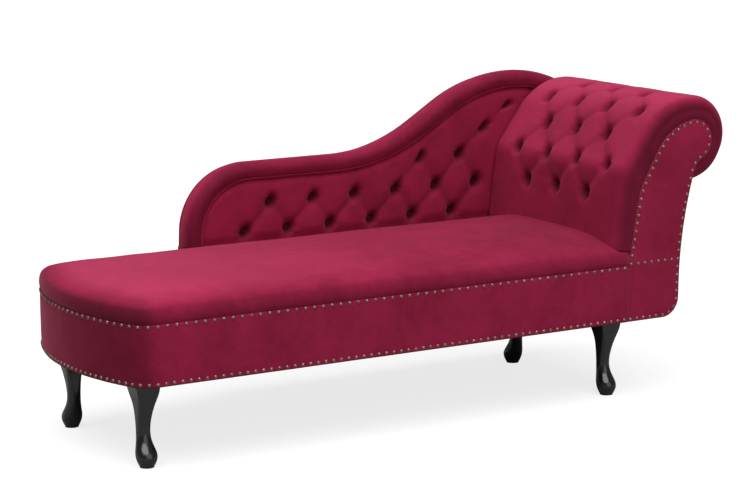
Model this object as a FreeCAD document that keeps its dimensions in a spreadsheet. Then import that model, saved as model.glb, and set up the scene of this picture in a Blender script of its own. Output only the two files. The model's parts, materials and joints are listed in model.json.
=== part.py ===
import FreeCAD, Part
import math
import os
from types import SimpleNamespace

from FreeCAD import Vector

# Chaise longue with one rolled arm and a swept back along one long side.
# Frame: origin on the floor at the middle of the whole box, +Z up, -Y is the open long side,
# +X is the head end with the rolled arm. Millimetres.

# Driving sizes: name, value, what it is.
SIZES = [
    ("overall_length", 1748, "foot end bow to the outside of the arm roll"),
    ("seat_width", 596, "open side to rear side of the seat frame"),
    ("base_bottom", 206, "floor to the underside of the seat frame"),
    ("band_height", 146, "height of the nailed velvet band"),
    ("seat_edge_height", 49, "seat side above the band"),
    ("seat_crown", 27, "how far the seat middle rises above its edge"),
    ("seat_bulge", 2, "how far the seat side swells past the band"),
    ("bow_depth", 68, "how far the foot end bows out"),
    ("corner_radius", 58, "plan radius of the foot end corners"),
    ("rail_past_seam", 90, "how far the long rails run on behind the arm facing"),
    ("rail_thickness", 27, "seat frame timber"),
    ("rail_height", 136, "seat frame timber height"),
    ("cover_thickness", 2, "velvet with its lining"),
    ("fit_clearance", 0.3, "gap between soft pieces"),
    ("strap_width", 60, "jute webbing width"),
    ("strap_thickness", 2, "jute webbing thickness"),
    ("strap_pitch_across", 98, "spacing of the straps that run across"),
    ("strap_pitch_along", 104, "spacing of the straps that run lengthwise"),
    ("deck_thickness", 1.5, "hessian deck"),
    ("dust_cover_thickness", 1, "black cambric under the frame"),
    ("foot_leg_inset", 110, "bow end to the foot end leg centres"),
    ("head_leg_inset", 317, "arm end to the head end leg centres"),
    ("leg_side_inset", 93, "seat side to the leg top centres"),
    ("leg_top_size", 60, "side of the leg top square"),
    ("ankle_size", 34, "leg width at the ankle"),
    ("foot_size", 50, "leg width at the pad foot"),
    ("toe_reach", 12, "how far the foot stands out in front of the leg top"),
    ("glide_thickness", 4, "nylon glide under each foot"),
    ("glide_diameter", 34, "nylon glide diameter"),
    ("block_size", 96, "side of the leg block inside the frame"),
    ("block_height", 60, "height of the leg block"),
    ("plate_side", 64, "steel plate between leg and block"),
    ("plate_thickness", 2, "steel plate thickness"),
    ("leg_bolt_diameter", 8, "hanger bolt of each leg"),
    ("leg_bolt_depth", 40, "how deep the hanger bolt stands in leg and block"),
    ("roll_radius", 110, "outside radius of the arm roll"),
    ("roll_top", 776, "floor to the top of the arm roll"),
    ("facing_radius", 47, "radius of the nail line round the roll of the facing"),
    ("facing_shift", 8, "facing roll centre outwards of the pad roll centre"),
    ("facing_drop", 5.5, "facing roll centre below the pad roll centre"),
    ("facing_margin", 7, "facing edge outside the nail line"),
    ("facing_corner", 44, "radius of the outer lower corner of the facing"),
    ("facing_thickness", 2, "velvet covered facing panel"),
    ("board_thickness", 22, "scroll shaped boards of the arm"),
    ("board_margin", 4, "scroll board edge outside the nail line"),
    ("backing_thickness", 3, "hessian over the arm slats"),
    ("slat_width", 44, "arm slat width"),
    ("slat_thickness", 20, "arm slat thickness"),
    ("back_length", 1274, "left edge of the back to the arm roll end"),
    ("back_thickness", 75, "whole thickness of the back"),
    ("back_overlap", 13, "how far the back front stands in front of the seat rear"),
    ("back_frame_thickness", 27, "timber of the back"),
    ("back_frame_width", 62, "width of the back rails and posts"),
    ("crest_low", 610, "height of the low part of the crest"),
    ("crest_top", 800, "height of the crest peak"),
    ("crest_corner", 180, "radius of the left shoulder of the back"),
    ("crest_low_run", 255, "straight stretch of the low crest"),
    ("crest_peak_from_end", 268, "crest peak to the arm roll end"),
    ("crest_slope", 31.8, "steepest slope of the crest in degrees"),
    ("crest_hollow", 495, "radius of the hollow before the crest rises"),
    ("crest_fall", 369, "radius of the crest as it falls to the roll"),
    ("border_width", 42, "padded border between crest and piping"),
    ("border_round", 14, "rounding of the border edges"),
    ("piping_diameter", 6, "piping between border and buttoned panel"),
    ("panel_recess", 4, "buttoned panel behind the border front"),
    ("back_pad_depth", 33, "buttoned panel foam depth"),
    ("board_sheet", 4, "hardboard behind the back"),
    ("outer_cover", 7, "outside back velvet with its wadding"),
    ("back_columns", 127.4, "spacing of the back buttons in a row"),
    ("back_first_button", 168, "left edge of the back to the first button"),
    ("back_lean", 12.5, "sideways step of the back buttons from row to row"),
    ("back_row_1", 428, "height of the lowest row of back buttons"),
    ("back_row_2", 503, "height of the second row"),
    ("back_row_3", 585, "height of the third row"),
    ("back_row_4", 653, "height of the fourth row"),
    ("back_row_5", 706, "height of the fifth row"),
    ("button_diameter", 21, "velvet covered buttons"),
    ("button_height", 6, "button dome"),
    ("button_depth", 23, "how deep the buttons sit"),
    ("pleat_depth", 9, "how deep the folds between buttons are"),
    ("pillow_rise", 3, "how far the diamonds rise"),
    ("arm_columns", 133, "spacing of the arm buttons in a row"),
    ("arm_rows", 85, "spacing of the rows of arm buttons, over the surface"),
    ("arm_first_row", 129, "seat to the lowest row of arm buttons"),
    ("pad_shoulder_radius", 180, "arm pad, round shoulder inside the roll"),
    ("pad_shoulder_turn", 54, "degrees the pad shoulder turns"),
    ("pad_slope", 107, "arm pad, straight slope under the shoulder"),
    ("pad_foot_radius", 75, "arm pad, round step into the upright foot"),
    ("pad_foot_turn", 28.7, "degrees of the pad foot"),
    ("facing_top_radius", 70, "facing nail line, top of the scroll"),
    ("facing_top_turn", 8, "degrees of the scroll top"),
    ("facing_shoulder_radius", 145, "facing nail line, inner shoulder"),
    ("facing_shoulder_turn", 53, "degrees of the inner shoulder"),
    ("facing_slope", 83, "facing nail line, inner slope"),
    ("facing_waist_radius", 150, "facing nail line, inner waist"),
    ("facing_waist_turn", 19, "degrees of the inner waist"),
    ("facing_shank", 140, "facing nail line, straight stretch above the foot"),
    ("facing_foot_radius", 400, "facing nail line, inner foot"),
    ("facing_foot_turn", 10, "degrees of the inner foot"),
    ("facing_scroll_turn", 155, "degrees the scroll turns on its outer side"),
    ("facing_neck_radius", 50, "facing nail line, hollow under the scroll"),
    ("facing_neck_turn", 48, "degrees of that hollow"),
    ("facing_side_radius", 1054, "facing nail line, outer side"),
    ("facing_side_turn", 16, "degrees of the outer side"),
    ("nail_diameter", 10, "decorative nail heads"),
    ("nail_height", 3, "nail head dome"),
    ("upper_nail_pitch", 24, "spacing of the nails along the band top"),
    ("lower_nail_pitch", 21, "spacing of the other nails"),
    ("nail_edge", 7, "lower nail centres above the underside"),
    ("facing_nail_rise", 9, "nail row of the facing above the band nails"),
    ("bolt_diameter", 8, "frame bolts"),
    ("bolt_head", 18, "frame bolt head and washer diameter"),
]


# Rounds of moving a button in by its clear distance to the cover.
SETTLE_STEPS = 4

# The folds are drawn a little to each side of the buttons, as a share of the way to the next column.
NEAR = 0.12


def make_sheet(doc):
    """The spreadsheet of driving sizes, and the same values to work with."""
    sheet = doc.addObject("Spreadsheet::Sheet", "sizes")
    for row, (name, value, note) in enumerate(SIZES, start=1):
        sheet.set("A%d" % row, note)
        sheet.set("B%d" % row, str(value))
        sheet.setAlias("B%d" % row, name)
    doc.recompute()
    return SimpleNamespace(**{name: float(sheet.get(name)) for name, _, _ in SIZES})


class Route:
    """A smooth run of straight and round steps in one plane; +turn is anticlockwise."""

    def __init__(self, start, heading, steps=()):
        self.start = start
        self.heading = heading
        self.steps = list(steps)

    def line(self, length):
        self.steps.append((length, 0.0))
        return self

    def arc(self, radius, degrees):
        turn = math.radians(degrees)
        self.steps.append((radius * abs(turn), turn))
        return self

    def length(self):
        return sum(step[0] for step in self.steps)

    @staticmethod
    def advance(point, heading, length, turn):
        if turn == 0.0:
            return (point[0] + length * math.cos(heading), point[1] + length * math.sin(heading)), heading
        radius = length / turn
        end = heading + turn
        x = point[0] + radius * (math.sin(end) - math.sin(heading))
        y = point[1] - radius * (math.cos(end) - math.cos(heading))
        return (x, y), end

    def at(self, distance):
        """Point and heading at a distance along the route."""
        point, heading = self.start, self.heading
        left = distance
        for index, (length, turn) in enumerate(self.steps):
            last = index == len(self.steps) - 1
            if left <= length or last:
                return self.advance(point, heading, left, turn * left / length)
            point, heading = self.advance(point, heading, length, turn)
            left -= length
        return point, heading

    def beside(self, distance, offset):
        """Point at a distance along the route and an offset to its left."""
        (x, y), heading = self.at(distance)
        return x - offset * math.sin(heading), y + offset * math.cos(heading)

    def shifted(self, offset):
        """The route moved sideways to its left."""
        steps = [(length - offset * turn, turn) for length, turn in self.steps]
        return Route(self.beside(0.0, offset), self.heading, steps)

    def reverse(self):
        end, heading = self.at(self.length())
        steps = [(length, -turn) for length, turn in reversed(self.steps)]
        return Route(end, heading + math.pi, steps)

    def between(self, first, last):
        """The part of the route from one distance to another."""
        start, heading = self.at(first)
        steps = []
        done = 0.0
        for length, turn in self.steps:
            low = max(first, done)
            high = min(last, done + length)
            if high - low > 1e-6:
                steps.append((high - low, turn * (high - low) / length))
            done += length
        return Route(start, heading, steps)

    def edges(self, place):
        """Edges of the route, with place turning plane points into space."""
        result = []
        point, heading = self.start, self.heading
        for length, turn in self.steps:
            middle, _ = self.advance(point, heading, length / 2, turn / 2)
            end, heading = self.advance(point, heading, length, turn)
            if turn == 0.0:
                result.append(Part.LineSegment(place(*point), place(*end)).toShape())
            else:
                result.append(Part.Arc(place(*point), place(*middle), place(*end)).toShape())
            point = end
        return result


def in_plan(z):
    return lambda x, y: Vector(x, y, z)


def in_profile(y):
    return lambda x, z: Vector(x, y, z)


def straight(first, last):
    return Part.LineSegment(first, last).toShape()


def closed_face(edges):
    """A face inside the edges, with one straight edge added where they are open."""
    first = edges[0].Vertexes[0].Point
    last = edges[-1].Vertexes[-1].Point
    if first.distanceToPoint(last) > 1e-6:
        edges = edges + [straight(last, first)]
    return Part.Face(Part.Wire(edges))


def block(low, high):
    """A box between two corners."""
    size = [high[i] - low[i] for i in range(3)]
    return Part.makeBox(size[0], size[1], size[2], Vector(*low))


def outline_prism(edges, front, rear):
    """A profile face pushed from its front plane to the rear one."""
    return closed_face(edges).extrude(Vector(0, rear - front, 0))


def keep_piece(doc, name, shape):
    """A document object that holds one finished shape."""
    piece = doc.addObject("Part::Feature", name)
    piece.Label = name
    piece.Shape = shape
    piece.Placement = FreeCAD.Placement()
    return piece


def bound_box(doc, name, corner, lengths):
    """A box whose corner and sides are expressions on the sheet."""
    box = doc.addObject("Part::Box", name)
    box.Label = name
    for side, expression in zip(("Length", "Width", "Height"), lengths):
        box.setExpression(side, expression)
    for axis, expression in zip("xyz", corner):
        box.setExpression("Placement.Base." + axis, expression)
    return box


def bound_cylinder(doc, name, radius, height, corner):
    """An upright cylinder whose sizes and place are expressions on the sheet."""
    cylinder = doc.addObject("Part::Cylinder", name)
    cylinder.Label = name
    cylinder.setExpression("Radius", radius)
    cylinder.setExpression("Height", height)
    for axis, expression in zip("xyz", corner):
        cylinder.setExpression("Placement.Base." + axis, expression)
    return cylinder


def group_of(doc, name, members):
    """Like pieces kept together as separate solids of one node."""
    group = doc.addObject("Part::Compound", name)
    group.Label = name
    group.Links = members
    return group


class Layout:
    """Places worked out from the driving sizes."""

    def __init__(self, s):
        self.end = s.overall_length / 2
        self.bow = -self.end + s.nail_height
        whole_depth = s.nail_height + s.seat_width + s.back_thickness - s.back_overlap
        self.front = -whole_depth / 2 + s.nail_height
        self.rear = self.front + s.seat_width
        self.middle = (self.front + self.rear) / 2
        self.back_front = self.rear - s.back_overlap
        self.back_rear = self.back_front + s.back_thickness
        self.back_left = self.end - s.back_length
        self.band_top = s.base_bottom + s.band_height
        self.seat_edge = self.band_top + s.seat_edge_height
        self.rail_bottom = s.base_bottom + s.cover_thickness
        self.rail_top = self.rail_bottom + s.rail_height
        self.deck_bottom = self.rail_top + 2 * s.strap_thickness
        self.deck_top = self.deck_bottom + s.deck_thickness
        self.roll_x = self.end - s.roll_radius
        self.roll_z = s.roll_top - s.roll_radius
        self.outer_cover_front = self.back_rear - s.outer_cover
        self.frame_rear = self.outer_cover_front - s.board_sheet
        self.frame_front = self.frame_rear - s.back_frame_thickness
        self.foot_leg_x = -self.end + s.foot_leg_inset
        self.head_leg_x = self.end - s.head_leg_inset
        self.leg_offset = s.seat_width / 2 - s.leg_side_inset
        self.seam = facing_route(s, self).start[0] - s.facing_margin - s.fit_clearance
        self.rail_head = self.seam + s.rail_past_seam


# Seat

def plan_route(s, at, inset, head_x):
    """Seat outline seen from above, open at the head end, from the front corner round to the rear one."""
    half = s.seat_width / 2 - inset
    chord = s.seat_width / 2
    bow_radius = (chord ** 2 + s.bow_depth ** 2) / (2 * s.bow_depth)
    centre_x = at.bow + bow_radius
    corner = max(s.corner_radius - inset, s.corner_radius / 5)
    bow = bow_radius - inset
    corner_x = centre_x - math.sqrt((bow - corner) ** 2 - (half - corner) ** 2)
    lean = math.atan2(half - corner, centre_x - corner_x)
    route = Route((head_x, at.middle - half), math.pi)
    route.line(head_x - corner_x)
    route.arc(corner, -math.degrees(math.pi / 2 - lean))
    route.arc(bow, -math.degrees(2 * lean))
    route.arc(corner, -math.degrees(math.pi / 2 - lean))
    route.line(head_x - corner_x)
    return route


def plan_prism(s, at, inset, head_x, bottom, top):
    face = closed_face(plan_route(s, at, inset, head_x).edges(in_plan(bottom)))
    return face.extrude(Vector(0, 0, top - bottom))


def seat_rails(doc, s, at):
    """Front, rear and bowed foot end rails with the turned corner blocks between them."""
    outer = s.cover_thickness + s.fit_clearance
    inner = outer + s.rail_thickness
    head_x = at.rail_head
    ring = plan_prism(s, at, outer, head_x, at.rail_bottom, at.rail_top)
    ring = ring.cut(plan_prism(s, at, inner, head_x, at.rail_bottom, at.rail_top))
    route = plan_route(s, at, outer, head_x)
    straight_run = route.steps[0][0]
    corner_x, _ = route.at(straight_run)[0]
    turned_x, turned_y = route.at(straight_run + route.steps[1][0])[0]
    reach = at.middle - turned_y
    low, high = at.rail_bottom, at.rail_top
    front_half = block((corner_x, at.front, low), (head_x, at.middle, high))
    rear_half = block((corner_x, at.middle, low), (head_x, at.rear, high))
    end_zone = block((at.bow, at.middle - reach, low), (corner_x, at.middle + reach, high))
    front = ring.common(front_half)
    rear = ring.common(rear_half)
    bowed = ring.common(end_zone)
    corners = ring.cut(front_half).cut(rear_half).cut(end_zone)
    keep_piece(doc, "front_seat_rail", front)
    keep_piece(doc, "back_seat_rail", drilled(s, at, rear))
    keep_piece(doc, "foot_end_rail", bowed)
    keep_piece(doc, "foot_corner_blocks", Part.Compound(corners.Solids))


def cross_timbers(doc, s, at):
    """The head end rail and two cross rails, let in between the long rails."""
    reach = s.seat_width / 2 - s.cover_thickness - s.fit_clearance - s.rail_thickness
    head = block((at.rail_head - s.rail_thickness, at.middle - reach, at.rail_bottom),
                 (at.rail_head, at.middle + reach, at.rail_top))
    keep_piece(doc, "head_end_rail", head)
    inner = "(sizes.cover_thickness + sizes.fit_clearance + sizes.rail_thickness)"
    front = "(-(sizes.nail_height + sizes.seat_width + sizes.back_thickness - sizes.back_overlap) / 2"
    front = front + " + sizes.nail_height)"
    low = "sizes.base_bottom + sizes.cover_thickness"
    width = "sizes.seat_width - 2 * " + inner
    start = front + " + " + inner
    spans = []
    for count, share in (("first", "1 / 3"), ("second", "2 / 3")):
        spacing = "(sizes.overall_length - sizes.foot_leg_inset - sizes.head_leg_inset)"
        place = "-sizes.overall_length / 2 + sizes.foot_leg_inset + " + share + " * " + spacing
        spans.append(bound_box(doc, count + "_cross_rail", (place, start, low + " + sizes.rail_height / 2"),
                               ("sizes.rail_thickness", width, "sizes.rail_height / 3")))
    group_of(doc, "seat_cross_rails", spans)


def leg_places(s, at):
    """Leg top centres, and which way each toe points along Y."""
    return {
        "front_foot_leg": (at.foot_leg_x, at.middle - at.leg_offset, -1),
        "back_foot_leg": (at.foot_leg_x, at.middle + at.leg_offset, 1),
        "front_head_leg": (at.head_leg_x, at.middle - at.leg_offset, -1),
        "back_head_leg": (at.head_leg_x, at.middle + at.leg_offset, 1),
    }


def square_wire(x, y, z, half, rounding):
    """A level square with rounded corners."""
    flat = 2 * (half - rounding)
    route = Route((x - half + rounding, y - half), 0.0)
    for _ in range(4):
        route.line(flat)
        route.arc(rounding, 90)
    return Part.Wire(route.edges(in_plan(z)))


def cabriole_leg(s, at, x, y, toe):
    """A leg that swells at the knee, draws in at the ankle and ends in a pad foot."""
    top = s.base_bottom
    bottom = s.glide_thickness
    rise = top - bottom
    knee = s.leg_top_size / 2
    ankle = s.ankle_size / 2
    foot = s.foot_size / 2
    stations = [
        (1.00, 0.00, knee, 0.10),
        (0.90, 0.20, knee * 0.98, 0.12),
        (0.80, 0.30, knee * 0.84, 0.20),
        (0.71, 0.15, knee * 0.71, 0.35),
        (0.55, -0.25, (knee + ankle) * 0.37, 0.65),
        (0.40, -0.45, ankle * 0.96, 0.90),
        (0.31, -0.30, ankle * 1.02, 0.94),
        (0.22, 0.20, (ankle + foot) / 2, 0.94),
        (0.13, 0.80, foot, 0.94),
        (0.06, 1.00, foot * 0.93, 0.94),
        (0.00, 1.00, foot * 0.72, 0.94),
    ]
    wires = []
    for height, reach, half, roundness in stations:
        centre_y = y + toe * reach * s.toe_reach
        wires.append(square_wire(x, centre_y, bottom + height * rise, half, half * roundness))
    return Part.makeLoft(wires, True, False)


def legs(doc, s, at):
    """Four legs, each with its block, plate, bolt and glide."""
    blocks, plates = [], []
    radius = s.leg_bolt_diameter / 2
    inner = s.cover_thickness + s.fit_clearance + s.rail_thickness
    room = plan_prism(s, at, inner, at.rail_head, at.rail_bottom, at.rail_bottom + s.block_height)
    for name, (x, y, toe) in leg_places(s, at).items():
        bolt_bottom = Vector(x, y, s.base_bottom - s.leg_bolt_depth)
        bore = Part.makeCylinder(radius, s.leg_bolt_depth, bolt_bottom)
        keep_piece(doc, name, cabriole_leg(s, at, x, y, toe).cut(bore))
        half = s.block_size / 2
        low = at.rail_bottom
        near, far = sorted((y - toe * half, y + toe * s.seat_width))
        stock = block((x - half, near, low), (x + half, far, low + s.block_height)).common(room)
        hole = Part.makeCylinder(radius, s.leg_bolt_depth, Vector(x, y, low))
        blocks.append(stock.cut(hole))
        side = s.plate_side / 2
        plate_top = s.base_bottom + s.plate_thickness
        plate = block((x - side, y - side, s.base_bottom), (x + side, y + side, plate_top))
        through = Part.makeCylinder(radius, s.plate_thickness, Vector(x, y, s.base_bottom))
        plates.append(plate.cut(through))
    keep_piece(doc, "leg_blocks", Part.Compound(blocks))
    keep_piece(doc, "leg_plates", Part.Compound(plates))


def leg_fittings(doc):
    """A bolt up through each leg and a glide under its toe."""
    middle = "(sizes.nail_height + sizes.back_overlap - sizes.back_thickness) / 2"
    foot_x = "-sizes.overall_length / 2 + sizes.foot_leg_inset"
    head_x = "sizes.overall_length / 2 - sizes.head_leg_inset"
    bolts, glides = [], []
    for name, x in (("foot", foot_x), ("head", head_x)):
        for side, sign in (("front", " - "), ("back", " + ")):
            y = middle + sign + "(sizes.seat_width / 2 - sizes.leg_side_inset)"
            toe_y = y + sign + "sizes.toe_reach"
            bolt_low = "sizes.base_bottom - sizes.leg_bolt_depth"
            bolts.append(bound_cylinder(doc, side + "_" + name + "_bolt", "sizes.leg_bolt_diameter / 2",
                                        "2 * sizes.leg_bolt_depth", (x, y, bolt_low)))
            glides.append(bound_cylinder(doc, side + "_" + name + "_glide", "sizes.glide_diameter / 2",
                                         "sizes.glide_thickness", (x, toe_y, "0")))
    group_of(doc, "leg_bolts", bolts)
    group_of(doc, "leg_glides", glides)


def webbing(doc, s, at):
    """Two layers of straps and the hessian deck on top of the rails."""
    inset = s.cover_thickness + 2 * s.fit_clearance
    reach = s.seat_width / 2 - inset
    first_x = at.bow + s.bow_depth + s.corner_radius
    last_x = at.seam - s.strap_width
    across = []
    count = int((last_x - first_x) // s.strap_pitch_across) + 1
    for index in range(count):
        x = first_x + index * s.strap_pitch_across
        across.append(block((x, at.middle - reach, at.rail_top),
                            (x + s.strap_width, at.middle + reach, at.rail_top + s.strap_thickness)))
    keep_piece(doc, "webbing_across", Part.Compound(across))
    along = []
    lanes = int((reach - s.strap_width) // s.strap_pitch_along)
    level = at.rail_top + s.strap_thickness
    for lane in range(-lanes, lanes + 1):
        y = at.middle + lane * s.strap_pitch_along
        along.append(block((first_x - s.corner_radius, y - s.strap_width / 2, level),
                           (at.seam, y + s.strap_width / 2, level + s.strap_thickness)))
    keep_piece(doc, "webbing_along", Part.Compound(along))
    deck = plan_prism(s, at, inset, at.seam, at.deck_bottom, at.deck_top)
    keep_piece(doc, "seat_deck", deck)


def seat_section(s, at, inset, head_x, z):
    edges = plan_route(s, at, inset, head_x).edges(in_plan(z))
    first = edges[0].Vertexes[0].Point
    last = edges[-1].Vertexes[-1].Point
    return Part.Wire(edges + [straight(last, first)])


def seat_form(s, at, skin):
    """Crowned seat with a softly drawn side, taken in by the skin thickness."""
    edge = s.seat_edge_height
    shoulder = at.seat_edge
    inner_end = at.seam - s.fit_clearance - skin
    under_arm = arm_inner_x(s, at) - 1.5 - skin
    stations = [
        (at.band_top, 1.0, inner_end),
        (at.band_top + 0.25 * edge, -s.seat_bulge, inner_end),
        (at.band_top + 0.55 * edge, -s.seat_bulge / 2, inner_end),
        (at.band_top + 0.80 * edge, 5.0, inner_end),
        (at.band_top + 0.84 * edge, 6.5, under_arm),
        (shoulder, 16.0, under_arm),
        (shoulder + 0.22 * s.seat_crown, 34.0, under_arm),
        (shoulder + 0.55 * s.seat_crown, 72.0, under_arm - 30),
        (shoulder + 0.85 * s.seat_crown, 130.0, under_arm - 80),
        (shoulder + s.seat_crown, 200.0, under_arm - 150),
    ]
    wires = []
    for z, inset, head_x in stations:
        wires.append(seat_section(s, at, inset + skin, head_x, z - skin if z > at.band_top else z))
    return Part.makeLoft(wires, True, True)


def seat_upholstery(doc, s, at):
    """Foam, tight cover and the nailed band below it."""
    outer = seat_form(s, at, 0.0)
    inner = seat_form(s, at, s.cover_thickness)
    keep_piece(doc, "seat_cover", outer.cut(inner))
    inset = s.cover_thickness + 2 * s.fit_clearance
    head_x = at.seam - s.fit_clearance - inset
    base = plan_prism(s, at, inset + 1, head_x, at.deck_top, at.band_top)
    foam = seat_form(s, at, s.cover_thickness + s.fit_clearance).fuse(base).removeSplitter()
    keep_piece(doc, "seat_foam", foam)
    band = plan_prism(s, at, 0.0, at.seam, s.base_bottom, at.band_top)
    band = band.cut(plan_prism(s, at, s.cover_thickness, at.seam, s.base_bottom, at.band_top))
    behind = block((at.back_left, at.middle, s.base_bottom), (at.seam, at.rear, at.band_top))
    keep_piece(doc, "seat_side_band", band.cut(behind))
    under = at.rail_bottom - s.dust_cover_thickness
    dust = plan_prism(s, at, 6.0, at.rail_head + 6, under, at.rail_bottom)
    for x, y, _ in leg_places(s, at).values():
        half = s.plate_side / 2 + 1
        dust = dust.cut(block((x - half, y - half, s.base_bottom), (x + half, y + half, at.rail_bottom)))
    keep_piece(doc, "base_dust_cover", dust)


# Arm

def pad_route(s, at):
    """Outer surface of the arm pad, from the seat up, over the roll and back in under it."""
    over = Route((at.roll_x, s.roll_top), 0.0).arc(s.roll_radius, -175)
    down = Route((at.roll_x, s.roll_top), math.pi)
    down.arc(s.pad_shoulder_radius, s.pad_shoulder_turn).line(s.pad_slope)
    down.arc(s.pad_foot_radius, s.pad_foot_turn)
    (x, z), heading = down.at(down.length())
    bottom = at.seat_edge - 5
    down.line((z - bottom) / -math.sin(heading))
    up = down.reverse()
    return Route(up.start, up.heading, up.steps + over.steps)


def arm_inner_x(s, at):
    """Where the arm pad meets the seat."""
    return pad_route(s, at).start[0]


def facing_route(s, at):
    """Nail line round the front facing, from its inner lower end over the roll to the outer one."""
    top = (at.roll_x + s.facing_shift, at.roll_z - s.facing_drop + s.facing_radius)
    bottom = s.base_bottom + s.nail_edge
    down = Route(top, math.pi)
    down.arc(s.facing_top_radius, s.facing_top_turn)
    down.arc(s.facing_shoulder_radius, s.facing_shoulder_turn)
    down.line(s.facing_slope)
    down.arc(s.facing_waist_radius, s.facing_waist_turn)
    down.line(s.facing_shank)
    down.arc(s.facing_foot_radius, s.facing_foot_turn)
    (x, z), _ = down.at(down.length())
    down.line(z - bottom)
    inner = down.reverse()
    outer = Route(top, 0.0).arc(s.facing_radius, -s.facing_scroll_turn)
    outer.arc(s.facing_neck_radius, s.facing_neck_turn)
    outer.arc(s.facing_side_radius, s.facing_side_turn)
    (x, z), heading = outer.at(outer.length())
    corner = math.degrees(heading) - 180 + 360
    drop = s.facing_corner * (1 - math.cos(math.radians(corner)))
    outer.line(max((z - bottom - drop) / -math.sin(heading), 1.0))
    outer.arc(s.facing_corner, -corner)
    return Route(inner.start, inner.heading, inner.steps + outer.steps)


def neck_distance(s, at):
    """How far along the nail line the neck under the roll ends: after its first nine steps."""
    return sum(step[0] for step in facing_route(s, at).steps[:9])


def facing_edges(s, at, margin, y):
    """Closed outline a margin outside the nail line, cut level with the underside."""
    route = facing_route(s, at).shifted(margin)
    edges = route.edges(in_profile(y))
    first = edges[0].Vertexes[0].Point
    last = edges[-1].Vertexes[-1].Point
    corner = Vector(first.x, y, last.z)
    if abs(first.z - last.z) > 1e-6:
        return edges + [straight(last, corner), straight(corner, first)]
    return edges + [straight(last, first)]


def skin_edges(route, inner, outer, y):
    """A closed strip between two offsets of one route."""
    outside = route.shifted(outer)
    inside = route.shifted(inner).reverse()
    far = outside.edges(in_profile(y))
    near = inside.edges(in_profile(y))
    join = straight(far[-1].Vertexes[-1].Point, near[0].Vertexes[0].Point)
    close = straight(near[-1].Vertexes[-1].Point, far[0].Vertexes[0].Point)
    return far + [join] + near + [close]


def pillow(depth, rise, width):
    """Height of a fold's crest for a diamond of relative width 0 to 1."""
    return -depth + (depth + rise) * math.sin(math.pi / 2 * width)


def fold_depth(s, phase):
    """Depth of the folds: deep at the buttons (phase 0 and 1), shallow half way."""
    return s.pleat_depth + (s.button_depth - s.pleat_depth) * abs(2 * phase - 1) ** 2


def arm_stations(s, at):
    """Places along Y of the arm sections, each with its fold phase and fade."""
    near = NEAR
    front = at.front + 2
    rear = at.back_front - s.fit_clearance
    centre = (front + rear) / 2
    half = s.arm_columns / 2
    result = [(front, 1 - near, 0.3, -13.0)]
    result.append((front + 7, 1 - near, 0.4, -3.0))
    result.append((front + 22, 1 - near, 0.5, 0.0))
    for column in range(-3, 3):
        for share in (near, 0.5, 1 - near):
            phase = 1 - share if column % 2 else share
            result.append((centre + (column + share) * half, phase, 1.0, 0.0))
    result.append((rear - 22, 1 - near, 0.5, 0.0))
    result.append((rear, 1 - near, 0.4, -3.0))
    return result


def arm_button_rows(s):
    """Distances of the button rows along the pad: three rows of three and two of four."""
    return [s.arm_first_row + index * s.arm_rows for index in range(5)]


def arm_outer_edges(s, at, y, phase, fade, shrink, skin):
    """Buttoned outer line of one arm section, seat to underside of the roll."""
    route = pad_route(s, at)
    rows = arm_button_rows(s)
    depth = fold_depth(s, phase) * fade
    level = shrink - skin
    step = s.arm_rows
    knots = [(0.0, -s.pleat_depth * fade * (1 - phase))]
    for row in rows[0::2]:
        if row != rows[0]:
            knots.append((row - phase * step, -depth))
        knots.append((row + phase * step, -depth if row != rows[-1] else -depth * (1 - phase)))
    knots.append((route.length() - s.roll_radius * math.radians(60), 0.0))
    knots.append((route.length(), 0.0))
    edges = []
    for index, (first, last) in enumerate(zip(knots, knots[1:])):
        middle = (first[0] + last[0]) / 2
        if index >= len(knots) - 3:
            crest = (first[1] + last[1]) / 2
        elif index % 2 == 0:
            crest = pillow(depth, s.pillow_rise, phase)
        else:
            crest = pillow(depth, s.pillow_rise, 1 - phase)
        points = [(first[0], first[1]), (middle, crest), (last[0], last[1])]
        spots = []
        for distance, offset in points:
            x, z = route.beside(distance, offset + level)
            spots.append(Vector(x, y, z))
        edges.append(Part.Arc(*spots).toShape())
    return edges


def height_on_route(route, z, low, high):
    """Distance along a route that climbs or falls steadily to a height between two distances."""
    climbing = route.at(high)[0][1] > route.at(low)[0][1]
    for _ in range(40):
        middle = (low + high) / 2
        if (route.at(middle)[0][1] < z) == climbing:
            low = middle
        else:
            high = middle
    return low


def arm_core_route(s, at, margin):
    """Arm core line under the pad, from the seat over the roll to the neck."""
    route = facing_route(s, at)
    start = height_on_route(route, at.seat_edge - 5, 0.0, route.length() / 3)
    return route.between(start, neck_distance(s, at)).shifted(margin)


def arm_section(s, at, station, outer_skin, inner):
    """Closed wire of one arm section, with inner giving its inner edges."""
    y, phase, fade, shrink = station
    outside = arm_outer_edges(s, at, y, phase, fade, shrink, outer_skin)
    inside = inner(y, phase, fade, shrink)
    join = straight(outside[-1].Vertexes[-1].Point, inside[0].Vertexes[0].Point)
    close = straight(inside[-1].Vertexes[-1].Point, outside[0].Vertexes[0].Point)
    return Part.Wire(outside + [join] + inside + [close])


def backwards(edges):
    """The same arcs, run the other way."""
    result = []
    for edge in reversed(edges):
        first, last = edge.FirstParameter, edge.LastParameter
        points = [edge.valueAt(p) for p in (last, (first + last) / 2, first)]
        result.append(Part.Arc(*points).toShape())
    return result


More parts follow.
